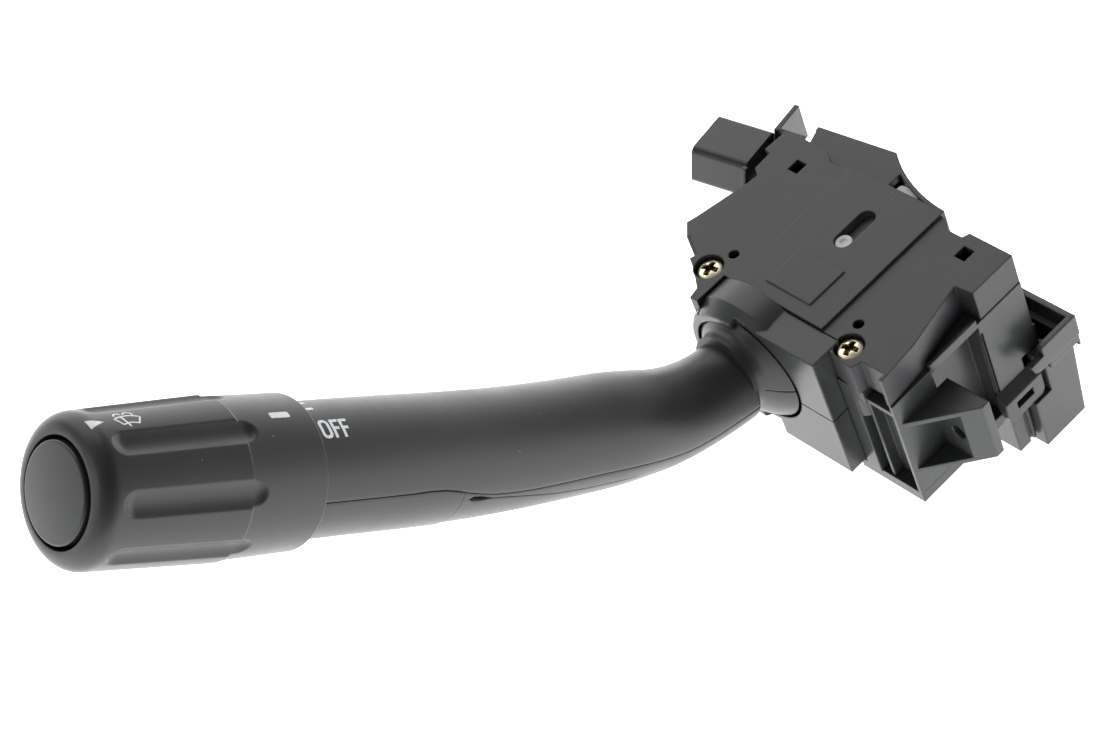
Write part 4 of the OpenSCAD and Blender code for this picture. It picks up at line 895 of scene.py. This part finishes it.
def make_marks():
    """OFF and the ticks on the stalk; the index bar, an arrow and a screen with wiper and spray on the knob."""
    ring = [rounded_box((0, -0.05), (2.95, 5.05), 1.3), rounded_box((0.8, 0.74), (2.15, 4.26), 0.6)]
    printed("mark_off", "lever", [ring, [letter_f(3.4)], [letter_f(6.0)]], on_stalk(-1.5, 53.0))
    for k, degrees in enumerate((85.5, 97.5, 109.5)):
        printed("mark_tick_%d" % k, "lever", [[rounded_box((0, 0), (3.2, 1.0), 0.42)]], on_stalk(-0.7, degrees))
    printed("mark_index", "knob", [[rounded_box((0, 0), (5.4, 1.75), 0.45)]], on_knob(12.3, 69.8))
    printed("mark_arrow", "knob", [[np.array([(0, 0), (3.8, 1.55), (0, 3.1)])]], on_knob(57.8, 77.0))
    screen = np.concatenate([arc_points((3.5, -3.6), 6.9, 118, 62, 12), arc_points((3.5, -3.6), 4.4, 64, 116, 12)])
    blade = np.array([(3.0, -0.35), (2.55, 1.4), (2.1, 3.3)])
    sprays = [arc_points((1.75, 3.55), 0.95, 185, 20, 9), arc_points((4.35, 3.55), 1.15, 160, -5, 9)]
    groups = [stroke(screen, LINE_W, True), stroke(blade, BLADE_W), *(stroke(s, LINE_W) for s in sprays)]
    printed("mark_wipe_wash", "knob", groups, on_knob(51.4, 75.6))


# ---------------------------------------------------------------- screws

SCREWS = ((0.3, 25.6), (0.3, -25.6))
SCREW_SEAT = 45.6  # height of the cover's counterbores
HEAD_R, HEAD_SIDE, HEAD_DOME = 3.5, 1.4, 0.9
SHANK_R, SHANK_L = 1.6, 18.0
CROSS_DEPTH = 1.9
CROSS_LENGTH, CROSS_WIDTH = (2.0, 2.5), (0.5, 0.85)  # half of each, at the cross's bottom and at its top
CROSS_TURN = -16.0


def make_screws():
    """Cover screws: a domed head lowered by a cross whose walls slope, an eased rim, and a shank."""
    turn = np.linspace(0, 2 * math.pi, 160, endpoint=False)
    head = np.concatenate([np.linspace(0.05, 3.25, 46), [3.34, 3.42, 3.48, HEAD_R]])
    rim = np.array([0.0] * 46 + [0.02, 0.07, 0.16, 0.28])
    dome = HEAD_SIDE + HEAD_DOME * (1 - (head / HEAD_R) ** 2) - rim
    across = [head[:, None] * np.cos(turn + math.radians(a)) for a in (CROSS_TURN, CROSS_TURN + 90)]
    arms = [(1 - smooth_step(np.abs(p), *CROSS_LENGTH)) * (1 - smooth_step(np.abs(q), *CROSS_WIDTH))
            for p, q in (across, across[::-1])]
    top = dome[:, None] - CROSS_DEPTH * np.maximum(*arms)
    below = eased_profile([
        (1.12, HEAD_R, 0), (0.0, HEAD_R, 0.1), (0.0, SHANK_R, 0.1), (-SHANK_L, SHANK_R, 0.2),
        (-SHANK_L, 0.05, 0)], 3)[1:]
    z = np.concatenate([top, np.repeat(below[:, :1], len(turn), 1)])
    r = np.concatenate([head, below[:, 1]])[:, None]
    grid = np.stack([r * np.cos(turn), r * np.sin(turn), z], -1).reshape(-1, 3)
    screw = np.concatenate([grid, [(0, 0, top[0].mean()), (0, 0, -SHANK_L)]])

    points = np.concatenate([screw + (x, y, SCREW_SEAT) for x, y in SCREWS])
    starts = [k * len(screw) for k in range(len(SCREWS))]
    quads = np.concatenate([grid_quads(len(z), len(turn), round_columns=True) + start for start in starts])
    caps = [fan + start for start in starts for fan in pole_fans(len(z), len(turn))]
    made = piece("cover_screws_turned", "housing", "screw_metal")
    solid(made, points, quads, 50.0, caps)
    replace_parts(made, "cover_screws")


# ---------------------------------------------------------------- studio

FLOOR_HALF, FLOOR_DROP = 6, 0.0005
FLOOR_GLOW, SKY_GLOW = 1.7, 1.5
WHITE, BLACK, FAINT = (1.0, 1.0, 1.0), (0.0, 0.0, 0.0), (0.04, 0.04, 0.04)
TO_CAMERA, FROM_CAMERA = (0.30, -0.95, 0.0), (-0.30, 0.95, 0.0)
LIT = Vector((-0.02, 0.0, 0.05))
SOFT_BOXES = (  # name, place, side, watts
    ("soft_box_back", (0.49, 1.10, 1.20), 2.0, 17.0),
    ("soft_box_left", (-1.1, 0.3, 0.9), 0.6, 1.5))


def make_studio():
    """Pale glowing floor that fades in front, a world bright low down and behind, and two soft boxes."""
    floor = Finish("studio_floor")
    in_front = floor.along(TO_CAMERA).ramp(0.20, 1.60)
    pale = floor.mix(floor.noise(2.0, detail=2.0), (0.86, 0.86, 0.87), (0.90, 0.90, 0.90))
    floor.set(Base_Color=pale, Roughness=0.9,
              Emission_Color=floor.mix(in_front, WHITE, FAINT), Emission_Strength=FLOOR_GLOW)
    mesh = bpy.data.meshes.new("studio_floor")
    low = CAD_BOX[0][2] - FLOOR_DROP
    corners = [(x * FLOOR_HALF, y * FLOOR_HALF, low) for x, y in ((-1, -1), (1, -1), (1, 1), (-1, 1))]
    mesh.from_pydata(corners, [], [(0, 1, 2, 3)])
    mesh.materials.append(floor.material)
    made = bpy.data.objects.new("studio_floor", mesh)
    bpy.context.scene.collection.objects.link(made)

    sky = Sky("studio_sky")
    low_down = sky.along(UP).ramp(0.10, 0.50, 1.0, 0.24)
    behind = sky.along(FROM_CAMERA).ramp(-0.60, 0.30, 0.32, 1.0)
    sky.plug(sky.shader.inputs["Color"], sky.mix(low_down * behind, BLACK, WHITE))
    sky.plug(sky.shader.inputs["Strength"], SKY_GLOW)
    bpy.context.scene.world = sky.world

    for name, at, side, power in SOFT_BOXES:
        data = bpy.data.lights.new(name, "AREA")
        data.shape, data.size, data.energy = "SQUARE", side, power
        lamp = bpy.data.objects.new(name, data)
        lamp.location = at
        lamp.rotation_euler = (LIT - Vector(at)).to_track_quat("-Z", "Y").to_euler()
        bpy.context.scene.collection.objects.link(lamp)
    bpy.context.scene.view_settings.view_transform = "Standard"


make_camera()
make_studio()
dress_nodes()
make_upper_skin()
make_lower_skin()
make_wire_cover()
make_bell()
make_hood_cheek()
make_knob()
make_button()
make_marks()
make_screws()
for node in EASED_NODES:
    eased_copy(node)
